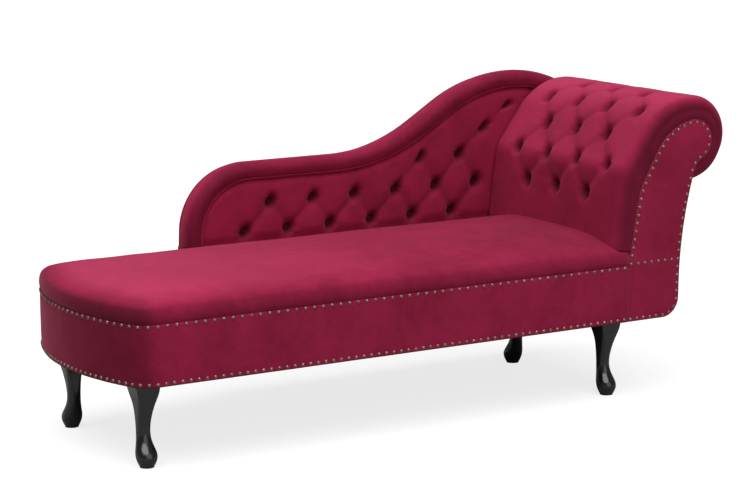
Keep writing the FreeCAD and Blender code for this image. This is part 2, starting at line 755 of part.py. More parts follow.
def arm_pad(doc, s, at):
    """Buttoned foam and velvet of the arm."""
    core = arm_core_route(s, at, s.board_margin + s.backing_thickness + s.fit_clearance)
    stations = arm_stations(s, at)

    def core_edges(y, phase, fade, shrink):
        return core.reverse().edges(in_profile(y))

    def lining_edges(y, phase, fade, shrink):
        return backwards(arm_outer_edges(s, at, y, phase, fade, shrink, s.cover_thickness))

    under = s.cover_thickness + s.fit_clearance
    foam = [arm_section(s, at, station, under, core_edges) for station in stations]
    cover = [arm_section(s, at, station, 0.0, lining_edges) for station in stations]
    keep_piece(doc, "arm_foam", Part.makeLoft(foam, True, True))
    keep_piece(doc, "arm_cover", Part.makeLoft(cover, True, True))


def arm_structure(doc, s, at):
    """Scroll boards, slats, hessian backing and the outside cover of the arm."""
    board = s.board_margin
    face_rear = at.front + s.facing_thickness
    board_rear = face_rear + s.board_thickness
    front_board = outline_prism(facing_edges(s, at, board, face_rear), face_rear, board_rear)
    rear_start = at.frame_front - s.board_thickness
    rear_board = outline_prism(facing_edges(s, at, board, rear_start), rear_start, at.frame_front)
    rail_room = block((at.seam - 400, at.front, s.base_bottom),
                      (at.rail_head + s.fit_clearance, at.rear + s.fit_clearance, at.deck_top))
    keep_piece(doc, "arm_front_board", front_board.cut(rail_room))
    keep_piece(doc, "arm_rear_board", rear_board.cut(rail_room))
    facing = outline_prism(facing_edges(s, at, s.facing_margin, at.front), at.front, face_rear)
    keep_piece(doc, "arm_front_facing", facing)
    route = facing_route(s, at)
    slats = []
    spots = [0.32, 0.45, 0.55, 0.64, 0.72, 0.86]
    for spot in spots:
        distance = spot * route.length()
        heading = route.at(distance)[1]
        slat = block((-s.slat_width / 2, face_rear + s.board_thickness, -s.slat_thickness),
                     (s.slat_width / 2, rear_start, 0.0))
        slat.rotate(Vector(0, 0, 0), Vector(0, 1, 0), -math.degrees(heading))
        x, z = route.beside(distance, s.board_margin - 8)
        slat.translate(Vector(x, 0, z))
        slats.append(slat)
    keep_piece(doc, "arm_slats", Part.Compound(slats))
    core = arm_core_route(s, at, 0.0)
    start = face_rear
    backing = skin_edges(core, board, board + s.backing_thickness, start)
    keep_piece(doc, "arm_backing", outline_prism(backing, start, at.frame_front))
    outer = route.between(neck_distance(s, at), route.length())
    cover = skin_edges(outer, board + s.fit_clearance, s.facing_margin, face_rear)
    keep_piece(doc, "arm_outer_cover", outline_prism(cover, face_rear, at.frame_rear))


# Back

def crest_route(s, at):
    """Outer edge of the back, from its left lower end over the crest and down to the arm roll."""
    left = at.back_left
    route = Route((left, at.seat_edge), math.pi / 2)
    route.line(s.crest_low - s.crest_corner - at.seat_edge)
    route.arc(s.crest_corner, -90)
    route.line(s.crest_low_run)
    route.arc(s.crest_hollow, s.crest_slope)
    slope = math.radians(s.crest_slope)
    (x, z), _ = route.at(route.length())
    peak_x = at.end - s.crest_peak_from_end
    rise = s.crest_top - z
    run = peak_x - x
    sine, cosine = math.sin(slope), math.cos(slope)
    radius = (run * sine - rise * cosine) / (sine ** 2 - (1 - cosine) * cosine)
    ramp = (run - radius * sine) / cosine
    route.line(ramp)
    route.arc(radius, -s.crest_slope)
    fall = math.degrees(math.asin((at.roll_x - peak_x) / s.crest_fall))
    route.arc(s.crest_fall, -fall)
    return route


def sweep_piece(route, section):
    """A section pushed along straight steps and turned round the round ones."""
    solid = None
    point, heading = route.start, route.heading
    for length, turn in route.steps:
        face = section(point, heading)
        if turn == 0.0:
            part = face.extrude(Vector(length * math.cos(heading), 0, length * math.sin(heading)))
        else:
            radius = length / turn
            centre = Vector(point[0] - radius * math.sin(heading), 0, point[1] + radius * math.cos(heading))
            part = face.revolve(centre, Vector(0, -1, 0), math.degrees(turn))
        solid = part if solid is None else solid.fuse(part)
        point, heading = route.advance(point, heading, length, turn)
    return solid.removeSplitter()


def border_line(s, at, spot, skin):
    """Outside of the border from the piping round the edge to the rear, taken in by the skin."""
    front = at.back_front + skin
    rounding = s.border_round
    swell = 1.0
    width = s.border_width - s.piping_diameter / 2
    diagonal = rounding * (1 - math.sqrt(0.5))
    shoulder = spot(skin + rounding, front + swell)
    side = spot(skin, front + swell + rounding)
    return [
        Part.Arc(spot(width, front + 4 * swell), spot((width + rounding) / 2, front), shoulder).toShape(),
        Part.Arc(shoulder, spot(skin + diagonal, front + swell + diagonal), side).toShape(),
        straight(side, spot(skin, at.outer_cover_front)),
    ]


def inward_spot(point, heading):
    """Places measured inwards from a point of the crest, at a depth Y."""
    x, z = point
    return lambda offset, y: Vector(x + offset * math.sin(heading), y, z - offset * math.cos(heading))


def border_foam_face(s, at):
    """Section of the border padding, stepped to fit over the timber."""
    skin = s.cover_thickness + s.fit_clearance
    timber = timber_inset(s) - s.fit_clearance
    step_y = at.frame_front - s.fit_clearance
    width = s.border_width - s.piping_diameter / 2

    def section(point, heading):
        spot = inward_spot(point, heading)
        line = border_line(s, at, spot, skin)
        corners = [spot(skin, at.outer_cover_front), spot(timber, at.outer_cover_front)]
        corners += [spot(timber, step_y), spot(width, step_y), line[0].Vertexes[0].Point]
        sides = [straight(first, last) for first, last in zip(corners, corners[1:])]
        return Part.Face(Part.Wire(line + sides))
    return section


def border_skin_face(s, at):
    """Section of the velvet round the border."""

    def section(point, heading):
        spot = inward_spot(point, heading)
        outside = border_line(s, at, spot, 0.0)
        inside = border_line(s, at, spot, s.cover_thickness)
        back = straight(outside[-1].Vertexes[-1].Point, inside[-1].Vertexes[-1].Point)
        front = straight(inside[0].Vertexes[0].Point, outside[0].Vertexes[0].Point)
        return Part.Face(Part.Wire(outside + [back] + inside[::-1] + [front]))
    return section


def timber_inset(s):
    """How far the back timber lies inside the crest."""
    return s.cover_thickness + 10


def crest_face(s, at, inset, bottom):
    """Face under the crest, closed down through the arm core, where other pieces cover it."""
    edges = crest_route(s, at).shifted(-inset).edges(in_profile(0))
    first = edges[0].Vertexes[0].Point
    last = edges[-1].Vertexes[-1].Point
    corners = [last, Vector(at.roll_x, 0, at.roll_z), Vector(at.seam + 80, 0, bottom),
               Vector(first.x, 0, bottom)]
    if abs(bottom - first.z) > 1e-6:
        corners.append(first)
    sides = [straight(a, b) for a, b in zip(corners, corners[1:])]
    return Part.Face(Part.Wire(edges + sides))


def slab(face, front, rear):
    """A face in the plane Y = 0 made into a slab between two planes."""
    face = face.copy()
    face.translate(Vector(0, front, 0))
    return face.extrude(Vector(0, rear - front, 0))


def core_prism(s, at, margin, front, rear):
    return outline_prism(facing_edges(s, at, margin, front), front, rear)


def back_stations(s, at):
    """Places along the back of its sections, each with its fold phase and fade."""
    near = NEAR
    first = at.back_left + s.back_first_button
    half = s.back_columns / 2
    result = [(at.back_left - 70, near, 0.6), (first - half, near, 0.8)]
    for column in range(0, 13):
        for share in (near, 0.5, 1 - near):
            phase = 1 - share if column % 2 else share
            result.append((first + (column + share) * half, phase, 1.0))
    result.append((at.roll_x + 20, 1 - near, 0.6))
    return result


def back_rows(s):
    return [s.back_row_1, s.back_row_2, s.back_row_3, s.back_row_4, s.back_row_5]


def back_front_edges(s, at, x, phase, fade, skin):
    """Buttoned front line of one back section, from the seat to above the crest."""
    rows = back_rows(s)
    top = s.crest_top + 20
    depth = fold_depth(s, phase) * fade
    panel = at.back_front + s.panel_recess + skin
    knots = [(at.seat_edge + 0.5, -s.pleat_depth * fade * (1 - phase))]
    knots.append((rows[0] + phase * (rows[1] - rows[0]), -depth))
    knots.append((rows[2] - phase * (rows[2] - rows[1]), -depth))
    knots.append((rows[2] + phase * (rows[3] - rows[2]), -depth))
    knots.append((rows[4] - phase * (rows[4] - rows[3]), -depth))
    knots.append((rows[4] + phase * s.arm_rows / 2, -depth))
    knots.append((top, -s.pleat_depth * fade))
    edges = []
    for index, (first, last) in enumerate(zip(knots, knots[1:])):
        crest = pillow(depth, s.pillow_rise, phase if index % 2 == 0 else 1 - phase)
        spots = []
        for z, offset in (first, ((first[0] + last[0]) / 2, crest), last):
            lean = s.back_lean * (z - rows[0]) / (rows[1] - rows[0])
            spots.append(Vector(x + lean, panel - offset, z))
        edges.append(Part.Arc(*spots).toShape())
    return edges


def back_pad(doc, s, at):
    """Buttoned foam and velvet of the back, cut to the space inside the piping."""
    rear = at.frame_front - s.strap_thickness - s.fit_clearance
    skin = s.cover_thickness + s.fit_clearance
    foam, cover = [], []
    for x, phase, fade in back_stations(s, at):
        front = back_front_edges(s, at, x, phase, fade, skin)
        low = front[0].Vertexes[0].Point
        high = front[-1].Vertexes[-1].Point
        far_high = Vector(high.x, rear, high.z)
        far_low = Vector(low.x, rear, low.z)
        behind = [straight(high, far_high), straight(far_high, far_low), straight(far_low, low)]
        foam.append(Part.Wire(front + behind))
        outside = back_front_edges(s, at, x, phase, fade, 0.0)
        inside = backwards(back_front_edges(s, at, x, phase, fade, s.cover_thickness))
        over = straight(outside[-1].Vertexes[-1].Point, inside[0].Vertexes[0].Point)
        under = straight(inside[-1].Vertexes[-1].Point, outside[0].Vertexes[0].Point)
        cover.append(Part.Wire(outside + [over] + inside + [under]))
    inset = s.border_width + s.piping_diameter / 2 + s.fit_clearance
    room = slab(crest_face(s, at, inset, at.seat_edge), at.back_front - 20, at.frame_front)
    margin = s.board_margin + s.backing_thickness + s.fit_clearance
    room = room.cut(core_prism(s, at, margin, at.back_front - 20, at.frame_front))
    keep_piece(doc, "back_foam", Part.makeLoft(foam, True, True).common(room))
    keep_piece(doc, "back_cover", Part.makeLoft(cover, True, True).common(room))


def back_border(doc, s, at):
    """Padded border, its velvet and the piping along the crest."""
    route = crest_route(s, at)
    keep_piece(doc, "back_border_roll", sweep_piece(route, border_foam_face(s, at)))
    keep_piece(doc, "back_border_cover", sweep_piece(route, border_skin_face(s, at)))
    piping = route.shifted(-s.border_width)

    def cord_face(point, heading):
        along = Vector(math.cos(heading), 0, math.sin(heading))
        centre = Vector(point[0], at.back_front + s.piping_diameter, point[1])
        circle = Part.Circle(centre, along, s.piping_diameter / 2 - s.fit_clearance)
        return Part.Face(Part.Wire([circle.toShape()]))

    keep_piece(doc, "back_piping", sweep_piece(piping, cord_face))


def arm_end(doc, s, at):
    """Padded rear end of the arm roll, which closes the back behind the arm."""
    (_, crest_z), _ = crest_route(s, at).at(crest_route(s, at).length())
    radius = crest_z - at.roll_z
    front = at.back_front + s.fit_clearance
    rear = at.outer_cover_front
    centre = Vector(at.roll_x, front, at.roll_z)
    skin = s.cover_thickness + s.fit_clearance

    def half_disc(size, end):
        disc = Part.makeCylinder(size, end - front, centre, Vector(0, 1, 0))
        keep = block((at.roll_x, front, 0), (at.end, end, s.roll_top))
        return disc.common(keep)

    core = core_prism(s, at, s.board_margin + s.backing_thickness + s.fit_clearance, front, at.frame_front)
    neck = core_prism(s, at, s.facing_margin + s.fit_clearance, front, rear)
    below = block((at.roll_x, front, 0), (at.roll_x + radius / 3, rear, at.roll_z - radius / 2))
    roll = half_disc(radius - skin, at.frame_rear).cut(core).cut(neck.common(below))
    keep_piece(doc, "arm_end_roll", roll)
    cover = half_disc(radius, rear).cut(half_disc(radius - s.cover_thickness, rear)).cut(neck)
    keep_piece(doc, "arm_end_cover", cover)


def bolt_places(s, at):
    """Four bolts that hold the back to the seat frame, as X and Z."""
    first = at.back_left + timber_inset(s) + 1.8 * s.back_frame_width
    last = at.seam - s.back_frame_width
    z = at.rail_bottom + s.back_frame_width / 2
    return [(first + index * (last - first) / 3, z) for index in range(4)]


def bolt_shanks(s, at):
    start = at.rear - s.cover_thickness - s.fit_clearance - s.rail_thickness
    end = at.frame_rear - s.board_sheet
    return [Part.makeCylinder(s.bolt_diameter / 2, end - start, Vector(x, start, z), Vector(0, 1, 0))
            for x, z in bolt_places(s, at)]


def fixing_bolts(s, at):
    """Bolts with round heads inside the seat frame."""
    head = s.bolt_diameter * 0.6
    start = at.rear - s.cover_thickness - s.fit_clearance - s.rail_thickness
    bolts = []
    for (x, z), shank in zip(bolt_places(s, at), bolt_shanks(s, at)):
        cap = Part.makeCylinder(s.bolt_head / 2, head, Vector(x, start - head, z), Vector(0, 1, 0))
        bolts.append(cap.fuse(shank).removeSplitter())
    return bolts


def drilled(s, at, shape):
    """A rail with the holes of the bolts through it."""
    for shank in bolt_shanks(s, at):
        shape = shape.cut(shank)
    return shape


def back_frame(doc, s, at):
    """Timber, webbing, hardboard and outside cover of the back."""
    inset = timber_inset(s)
    width = s.back_frame_width
    front, rear = at.frame_front, at.frame_rear
    whole = slab(crest_face(s, at, inset, at.rail_bottom), front, rear)
    inside = slab(crest_face(s, at, inset + width, at.rail_bottom), front, rear)
    post_left = at.back_left + inset
    post_right = post_left + width
    last_left = at.roll_x - 2.3 * width
    last_right = last_left + width
    tack_low = at.seat_edge - width
    rail_end = at.roll_x - 1.2 * width
    left_post = whole.common(block((post_left, front, at.rail_bottom), (post_right, rear, s.crest_top)))
    crest_room = block((post_right, front, at.seat_edge), (rail_end, rear, s.crest_top))
    crest = whole.cut(inside).common(crest_room)
    third = (last_left - post_right) / 3
    posts = []
    for index in (1, 2):
        x = post_right + index * third
        upright = block((x - width / 2, front, at.seat_edge), (x + width / 2, rear, s.crest_top))
        posts.append(inside.common(upright))
    right_post = inside.common(block((last_left, front, at.rail_bottom), (last_right, rear, s.crest_top)))
    keep_piece(doc, "back_left_post", left_post)
    keep_piece(doc, "back_crest_rail", crest)
    keep_piece(doc, "back_inner_posts", Part.Compound(posts))
    keep_piece(doc, "back_right_post", right_post)
    tacking_rail = block((post_right, front, tack_low), (last_left, rear, at.seat_edge))
    keep_piece(doc, "back_tacking_rail", tacking_rail)
    bottom_rail = block((post_right, front, at.rail_bottom), (last_left, rear, at.rail_bottom + width))
    keep_piece(doc, "back_bottom_rail", drilled(s, at, bottom_rail))
    keep_piece(doc, "back_fixing_bolts", Part.Compound(fixing_bolts(s, at)))
    packing = block((post_left, at.rear - s.cover_thickness - s.fit_clearance, at.rail_bottom),
                    (at.seam, front, at.rail_top))
    keep_piece(doc, "back_packing_rail", drilled(s, at, packing))
    straps = []
    room = slab(crest_face(s, at, s.border_width + 6, at.seat_edge), front - s.strap_thickness, front)
    room = room.cut(core_prism(s, at, s.board_margin + 4, front - s.strap_thickness, front))
    count = int((at.seam - post_right) // s.strap_pitch_across)
    for index in range(count):
        x = post_right + (index + 0.3) * s.strap_pitch_across
        strap = block((x, front - s.strap_thickness, tack_low + 6), (x + s.strap_width, front, s.crest_top))
        low = block((x, front - s.strap_thickness, tack_low + 6), (x + s.strap_width, front, at.seat_edge))
        straps.append(strap.common(room).fuse(low).removeSplitter())
    keep_piece(doc, "back_webbing", Part.Compound([solid for strap in straps for solid in strap.Solids]))
    keep_piece(doc, "back_outer_board", rear_slab(s, at, inset, s.cover_thickness + s.fit_clearance,
                                                   rear, at.outer_cover_front))
    keep_piece(doc, "back_outer_cover", rear_slab(s, at, 0.0, 0.0, at.outer_cover_front, at.back_rear))
    side = block((at.back_left, at.rear + s.seat_bulge + s.fit_clearance, s.base_bottom),
                 (post_left - s.fit_clearance, rear, at.seat_edge - s.fit_clearance))
    keep_piece(doc, "back_side_cover", side)


def rear_slab(s, at, crest_inset, inset, front, rear):
    """Slab of the whole back seen from behind: crest, arm roll and outer side of the arm."""
    (_, crest_z), _ = crest_route(s, at).at(crest_route(s, at).length())
    radius = crest_z - at.roll_z - inset
    crest = slab(crest_face(s, at, crest_inset, s.base_bottom), front, rear)
    disc = Part.makeCylinder(radius, rear - front, Vector(at.roll_x, front, at.roll_z), Vector(0, 1, 0))
    disc = disc.common(block((at.roll_x, front, 0), (at.end, rear, s.roll_top)))
    scroll = core_prism(s, at, s.facing_margin - inset, front, rear)
    return crest.fuse(disc).fuse(scroll).removeSplitter()


# Buttons, nails and bolts

def dome(diameter, height):
    """A domed head with its flat side at the origin, facing +Z."""
    radius = diameter / 2
    ball = (radius ** 2 + height ** 2) / (2 * height)
    sphere = Part.makeSphere(ball, Vector(0, 0, height - ball))
    return sphere.common(block((-radius, -radius, 0), (radius, radius, height)))


def placed(form, spot, facing):
    """A copy of a form moved to a spot and turned to face a direction."""
    copy = form.copy()
    copy.Placement = FreeCAD.Placement(spot, FreeCAD.Rotation(Vector(0, 0, 1), facing))
    return copy


def settled(form, spot, facing, cover, gap):
    """How far a button goes in from a spot before it lies a gap from the cover."""
    near = cover.common(Part.makeSphere(2 * form.BoundBox.XLength, spot))
    depth = 0.0
    for _ in range(SETTLE_STEPS):
        depth += placed(form, spot - facing * depth, facing).distToShape(near)[0] - gap
    return depth


def buttons(doc, s, at):
    """Covered buttons of the back and the arm, each row settled on its cover."""
    form = dome(s.button_diameter, s.button_height)
    back_cover = doc.getObject("back_cover").Shape
    arm_cover = doc.getObject("arm_cover").Shape
    back = []
    columns = {1: range(0, 11, 2), 2: range(1, 12, 2), 3: range(8, 11, 2), 4: (11,), 5: (12,)}
    forwards = Vector(0, -1, 0)
    for row, places in columns.items():
        depth = None
        for column in places:
            x = at.back_left + s.back_first_button + column * s.back_columns / 2 + s.back_lean * (row - 1)
            spot = Vector(x, at.back_front + s.panel_recess - s.pillow_rise, back_rows(s)[row - 1])
            if depth is None:
                depth = settled(form, spot, forwards, back_cover, s.fit_clearance)
            back.append(placed(form, spot - forwards * depth, forwards))
    keep_piece(doc, "back_buttons", Part.Compound(back))
    arm = []
    route = pad_route(s, at)
    centre = (at.front + 2 + at.back_front - s.fit_clearance) / 2
    for index, distance in enumerate(arm_button_rows(s)):
        heading = route.at(distance)[1]
        columns = (0, -1, 1) if index % 2 == 0 else (-0.5, 0.5, -1.5, 1.5)
        x, z = route.beside(distance, s.pillow_rise)
        facing = Vector(-math.sin(heading), 0, math.cos(heading))
        depth = None
        for column in columns:
            spot = Vector(x, centre + column * s.arm_columns, z)
            if depth is None:
                depth = settled(form, spot, facing, arm_cover, s.fit_clearance)
            arm.append(placed(form, spot - facing * depth, facing))
    keep_piece(doc, "arm_buttons", Part.Compound(arm))


def nail_run(form, route, pitch, place, facing):
    """Nails at an even spacing along a route, as near the pitch as fits."""
    count = max(int(round(route.length() / pitch)), 1)
    step = route.length() / count
    nails = []
    for index in range(count + 1):
        (u, v), heading = route.at(index * step)
        nails.append(placed(form, place(u, v), facing(heading)))
    return nails


def nails(doc, s, at):
    """Rows of nails: band top and bottom, facing outline and the row across the facing."""
    form = dome(s.nail_diameter, s.nail_height)
    route = plan_route(s, at, 0.0, at.seam - s.nail_diameter)
    rear_run = route.steps[-1][0]
    shown = route.length() - rear_run + (at.back_left - (at.seam - s.nail_diameter - rear_run)) - 12
    shown = min(shown, route.length())
    band = route.between(0.0, shown)

    def outwards(heading):
        return Vector(-math.sin(heading), math.cos(heading), 0)

    upper_z = at.band_top - s.nail_diameter / 2
    lower_z = s.base_bottom + s.nail_edge
    keep_piece(doc, "upper_band_nails", Part.Compound(
        nail_run(form, band, s.upper_nail_pitch, in_plan(upper_z), outwards)))
    keep_piece(doc, "lower_band_nails", Part.Compound(
        nail_run(form, band, s.lower_nail_pitch, in_plan(lower_z), outwards)))

    def forwards(heading):
        return Vector(0, -1, 0)

    row_z = upper_z + s.facing_nail_rise
    outline = facing_route(s, at)
    start = height_on_route(outline, row_z, 0.0, neck_distance(s, at) / 2)
    shown = outline.between(start, outline.length())
    corner_x = shown.at(shown.length())[0][0]
    under = corner_x - at.seam - s.nail_diameter
    keep_piece(doc, "facing_outline_nails", Part.Compound(
        nail_run(form, shown.line(under), s.lower_nail_pitch, in_profile(at.front), forwards)))
    first_x = shown.start[0] + s.lower_nail_pitch
    last_x = facing_width_at(s, at, row_z) - s.lower_nail_pitch
    row = Route((first_x, row_z), 0.0).line(last_x - first_x)
    keep_piece(doc, "facing_row_nails", Part.Compound(
        nail_run(form, row, s.lower_nail_pitch, in_profile(at.front), forwards)))


def facing_width_at(s, at, z):
    """Outer edge of the facing at a height, on the nail line."""
    route = facing_route(s, at)
    return route.at(height_on_route(route, z, neck_distance(s, at), route.length()))[0][0]


def check(doc):
    """Stop before writing anything if an object failed or a shape is unsound."""
    for item in doc.Objects:
        state = " ".join(item.State)
        if "Invalid" in state or "Error" in state:
            raise RuntimeError("failed object: %s" % item.Label)
        shape = getattr(item, "Shape", None)
        if shape is not None and (shape.isNull() or not shape.isValid()):
            raise RuntimeError("unsound shape: %s" % item.Label)


def main():
    doc = FreeCAD.newDocument("chaise_longue")
    s = make_sheet(doc)
    at = Layout(s)
    seat_rails(doc, s, at)
    cross_timbers(doc, s, at)
    legs(doc, s, at)
    leg_fittings(doc)
    webbing(doc, s, at)
    seat_upholstery(doc, s, at)
    arm_structure(doc, s, at)
    arm_pad(doc, s, at)
    back_frame(doc, s, at)
    back_pad(doc, s, at)
    back_border(doc, s, at)
    arm_end(doc, s, at)
    buttons(doc, s, at)
    nails(doc, s, at)
    doc.recompute()
    check(doc)
    groups = [item for item in doc.Objects if item.isDerivedFrom("Part::Compound")]
    inner = {member.Name for group in groups for member in group.Links}
    os.makedirs("parts", exist_ok=True)
    for item in doc.Objects:
        if hasattr(item, "Shape") and item.Name not in inner:
            item.Shape.exportStep("parts/%s.step" % item.Label)


main()
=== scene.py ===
import json
import math

import bpy
import numpy as np
from mathutils import Matrix, Vector, noise


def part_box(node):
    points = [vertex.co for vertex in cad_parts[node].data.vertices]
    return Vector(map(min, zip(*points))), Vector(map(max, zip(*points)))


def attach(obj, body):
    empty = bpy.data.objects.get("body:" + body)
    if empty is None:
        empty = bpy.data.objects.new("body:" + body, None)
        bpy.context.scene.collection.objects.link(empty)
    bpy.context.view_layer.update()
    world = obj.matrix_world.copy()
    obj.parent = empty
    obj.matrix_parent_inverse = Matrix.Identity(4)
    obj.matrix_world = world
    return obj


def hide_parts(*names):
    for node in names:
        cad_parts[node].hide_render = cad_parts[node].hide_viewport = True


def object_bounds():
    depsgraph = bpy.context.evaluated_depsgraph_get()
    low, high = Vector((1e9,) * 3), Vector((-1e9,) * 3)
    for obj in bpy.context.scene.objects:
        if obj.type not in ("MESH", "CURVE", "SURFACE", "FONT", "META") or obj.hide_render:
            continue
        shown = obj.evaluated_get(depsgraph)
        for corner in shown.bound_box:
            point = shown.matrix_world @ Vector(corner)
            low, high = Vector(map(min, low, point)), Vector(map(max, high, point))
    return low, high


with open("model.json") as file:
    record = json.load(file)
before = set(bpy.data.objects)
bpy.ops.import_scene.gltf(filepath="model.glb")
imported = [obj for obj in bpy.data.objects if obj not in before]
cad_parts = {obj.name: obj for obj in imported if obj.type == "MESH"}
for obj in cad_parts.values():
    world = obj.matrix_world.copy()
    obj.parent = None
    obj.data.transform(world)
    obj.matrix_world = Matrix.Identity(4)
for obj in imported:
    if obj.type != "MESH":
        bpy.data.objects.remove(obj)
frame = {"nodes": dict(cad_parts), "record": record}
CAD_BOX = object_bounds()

bl_info = {
    "name": "Buttoned chaise longue",
    "version": (1, 0, 0),
    "blender": (4, 5, 0),
    "location": "View3D > Sidebar > Chaise",
    "description": "Dresses the frame of a chaise longue in buttoned velvet, nails and lacquered legs",
    "category": "Object",
}

# Corners and edges of the main CAD pieces, which the sizes below start from.
SEAT_LOW, SEAT_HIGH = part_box("seat_cover")
BAND_LOW, BAND_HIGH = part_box("seat_side_band")
FACING_LOW, FACING_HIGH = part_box("arm_front_facing")
BORDER_LOW, BORDER_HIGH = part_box("back_border_cover")
BACK_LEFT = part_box("back_outer_cover")[0].x
PANEL_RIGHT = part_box("back_cover")[1].x
ARM_FRONT = FACING_HIGH.y
ARM_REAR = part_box("arm_cover")[1].y
ARM_MIDDLE = (ARM_FRONT + ARM_REAR) / 2
RIGHT_END = CAD_BOX[1][0]


def length(name, description, default):
    """A size in metres."""
    return bpy.props.FloatProperty(name=name, description=description, default=default,
                                   subtype="DISTANCE", unit="LENGTH")


def angle(name, description, degrees):
    """An angle, given in degrees."""
    return bpy.props.FloatProperty(name=name, description=description, default=math.radians(degrees),
                                   subtype="ANGLE", unit="ROTATION")


def share(name, description, default):
    """A number between 0 and 1."""
    return bpy.props.FloatProperty(name=name, description=description, default=default,
                                   min=0.0, max=1.0, subtype="FACTOR")


def number(name, description, default):
    """A plain number."""
    return bpy.props.FloatProperty(name=name, description=description, default=default)


def colour(name, description, default):
    """A colour as linear red, green and blue."""
    return bpy.props.FloatVectorProperty(name=name, description=description, default=default, size=3,
                                         min=0.0, max=1.0, subtype="COLOR")


class ChaiseVelvet(bpy.types.PropertyGroup):
    """Colours and surface of the velvet, with the colours of its painted shade and painted light."""

    shade: colour("Shade", "Velvet with the pile leaning away", (0.215, 0.0095, 0.036))
    light: colour("Light", "Velvet with the pile leaning to the eye", (0.335, 0.0150, 0.062))
    # Pit is the colour of painted shade, in the folds and round the buttons.
    pit: colour("Pit", "Velvet crushed in folds and under buttons", (0.020, 0.0012, 0.0045))
    # Painted light colour, for the seat's foot end and the top of the arm roll.
    painted_light: colour("Raised", "Velvet brushed up on the seat", (0.60, 0.060, 0.150))
    sheen: share("Sheen", "Strength of the bright edge of the pile", 0.40)
    sheen_tint: colour("Sheen tint", "Colour of the bright edge", (1.0, 0.22, 0.34))
    cloth: length("Cloth thickness", "Velvet with its lining", 0.003)


class ChaisePaintedLightAndShade(bpy.types.PropertyGroup):
    """Painted light and shade on the velvet: above 0 painted shade, below 0 painted light."""

    # The seat top: painted light at the foot end, painted shade at the arm end.
    seat_foot: number("Seat, foot end", "Seat top at the foot end", -0.46)
    seat_arm: number("Seat, arm end", "Seat top at the arm", 0.34)
    # Painted shade down the side of the seat pad, and deeper round the bow.
    side: number("Seat side", "Side of the seat pad", 0.17)
    bow: number("Bow", "Added where the side turns round the bow", 0.42)
    # Painted shade on the front of the back border, deeper at its left end.
    border_left: number("Border, left", "Front of the back border at its left end", 0.52)
    border_right: number("Border, right", "Front of the back border over the rest of its length", 0.30)
    # Painted shade on the front edge of the arm pad, and painted light on top of the roll.
    arm_front: number("Arm front", "Front edge of the arm pad", 0.50)
    arm_roll: number("Arm roll", "Taken off on top of the roll", 0.40)
    # Painted shade on the outside of the arm, on the covered buttons and in the folds.
    outside: number("Arm outside", "Panel on the outside of the arm", 0.15)
    button: number("Buttons", "Covered buttons", 0.75)
    fold: number("Folds", "Added in the folds between buttons", 0.08)


class ChaiseSeat(bpy.types.PropertyGroup):
    """Seat pad and the nailed band round it."""

    bow_depth: length("Bow", "How far the foot end bows out", 0.068)
    corner: length("Corner", "Plan radius of the foot end corners", 0.058)
    edge_height: length("Edge", "Height of the seat side above the band", 0.049)
    shoulder: length("Shoulder", "How far in the upper edge lies", 0.016)
    flat: length("Flat", "How far in the crown is level", 0.200)
    underside: length("Underside", "How far in the pad's underside runs on", 0.050)
    bow_sag: length("Bow sag", "How far the crown falls towards the bow", 0.009)


class ChaiseArm(bpy.types.PropertyGroup):
    """Profile and buttons of the rolled arm."""

    top: length("Top", "Height of the roll", 0.776)
    pad_foot: length("Pad foot", "Height of the pad's lower edge", 0.396)
    roll: length("Roll", "Outside radius of the roll", 0.110)
    shoulder: length("Shoulder", "Radius of the pad inside the roll", 0.180)
    shoulder_turn: angle("Shoulder turn", "Angle of the pad shoulder", 54.0)
    slope: length("Slope", "Straight slope under the shoulder", 0.107)
    foot: length("Foot", "Radius of the step into the upright foot", 0.075)
    foot_turn: angle("Foot turn", "Angle of that step", 28.7)
    column: length("Columns", "Spacing of the buttons in a row", 0.133)
    row: length("Rows", "Spacing of the rows over the surface", 0.085)
    first_row: length("First row", "Seat to the lowest row", 0.129)
    edge: length("Front edge", "Radius of the padded front edge", 0.030)
    tuck: length("Tuck", "Rear edge of the pad that turns in at the back", 0.009)
    fullness: length("Fullness", "Extra padding over the roll", 0.006)


class ChaiseFacing(bpy.types.PropertyGroup):
    """Nail line of the arm facing."""

    scroll: length("Scroll", "Radius of the nail line round the roll", 0.047)
    scroll_turn: angle("Scroll turn", "Angle of the scroll on its outer side", 155.0)
    shift: length("Shift", "Scroll centre outwards of the roll centre", 0.008)
    drop: length("Drop", "Scroll centre below the roll centre", 0.0055)
    top: length("Top", "Radius of the scroll top", 0.070)
    top_turn: angle("Top turn", "Angle of the scroll top", 8.0)
    shoulder: length("Shoulder", "Radius of the inner shoulder", 0.145)
    shoulder_turn: angle("Shoulder turn", "Angle of the inner shoulder", 53.0)
    slope: length("Slope", "Straight inner slope", 0.083)
    waist: length("Waist", "Radius of the inner waist", 0.150)
    waist_turn: angle("Waist turn", "Angle of the inner waist", 19.0)
    shank: length("Shank", "Straight stretch above the foot", 0.140)
    foot: length("Foot", "Radius of the inner foot", 0.400)
    foot_turn: angle("Foot turn", "Angle of the inner foot", 10.0)
    neck: length("Neck", "Radius of the hollow under the scroll", 0.050)
    neck_turn: angle("Neck turn", "Angle of that hollow", 48.0)
    side: length("Side", "Radius of the outer side", 1.054)
    side_turn: angle("Side turn", "Angle of the outer side", 16.0)
    corner: length("Corner", "Radius of the outer lower corner", 0.044)
    margin: length("Margin", "Facing edge outside the nail line", 0.007)
    row_rise: length("Row rise", "Nail row of the facing above the band nails", 0.009)


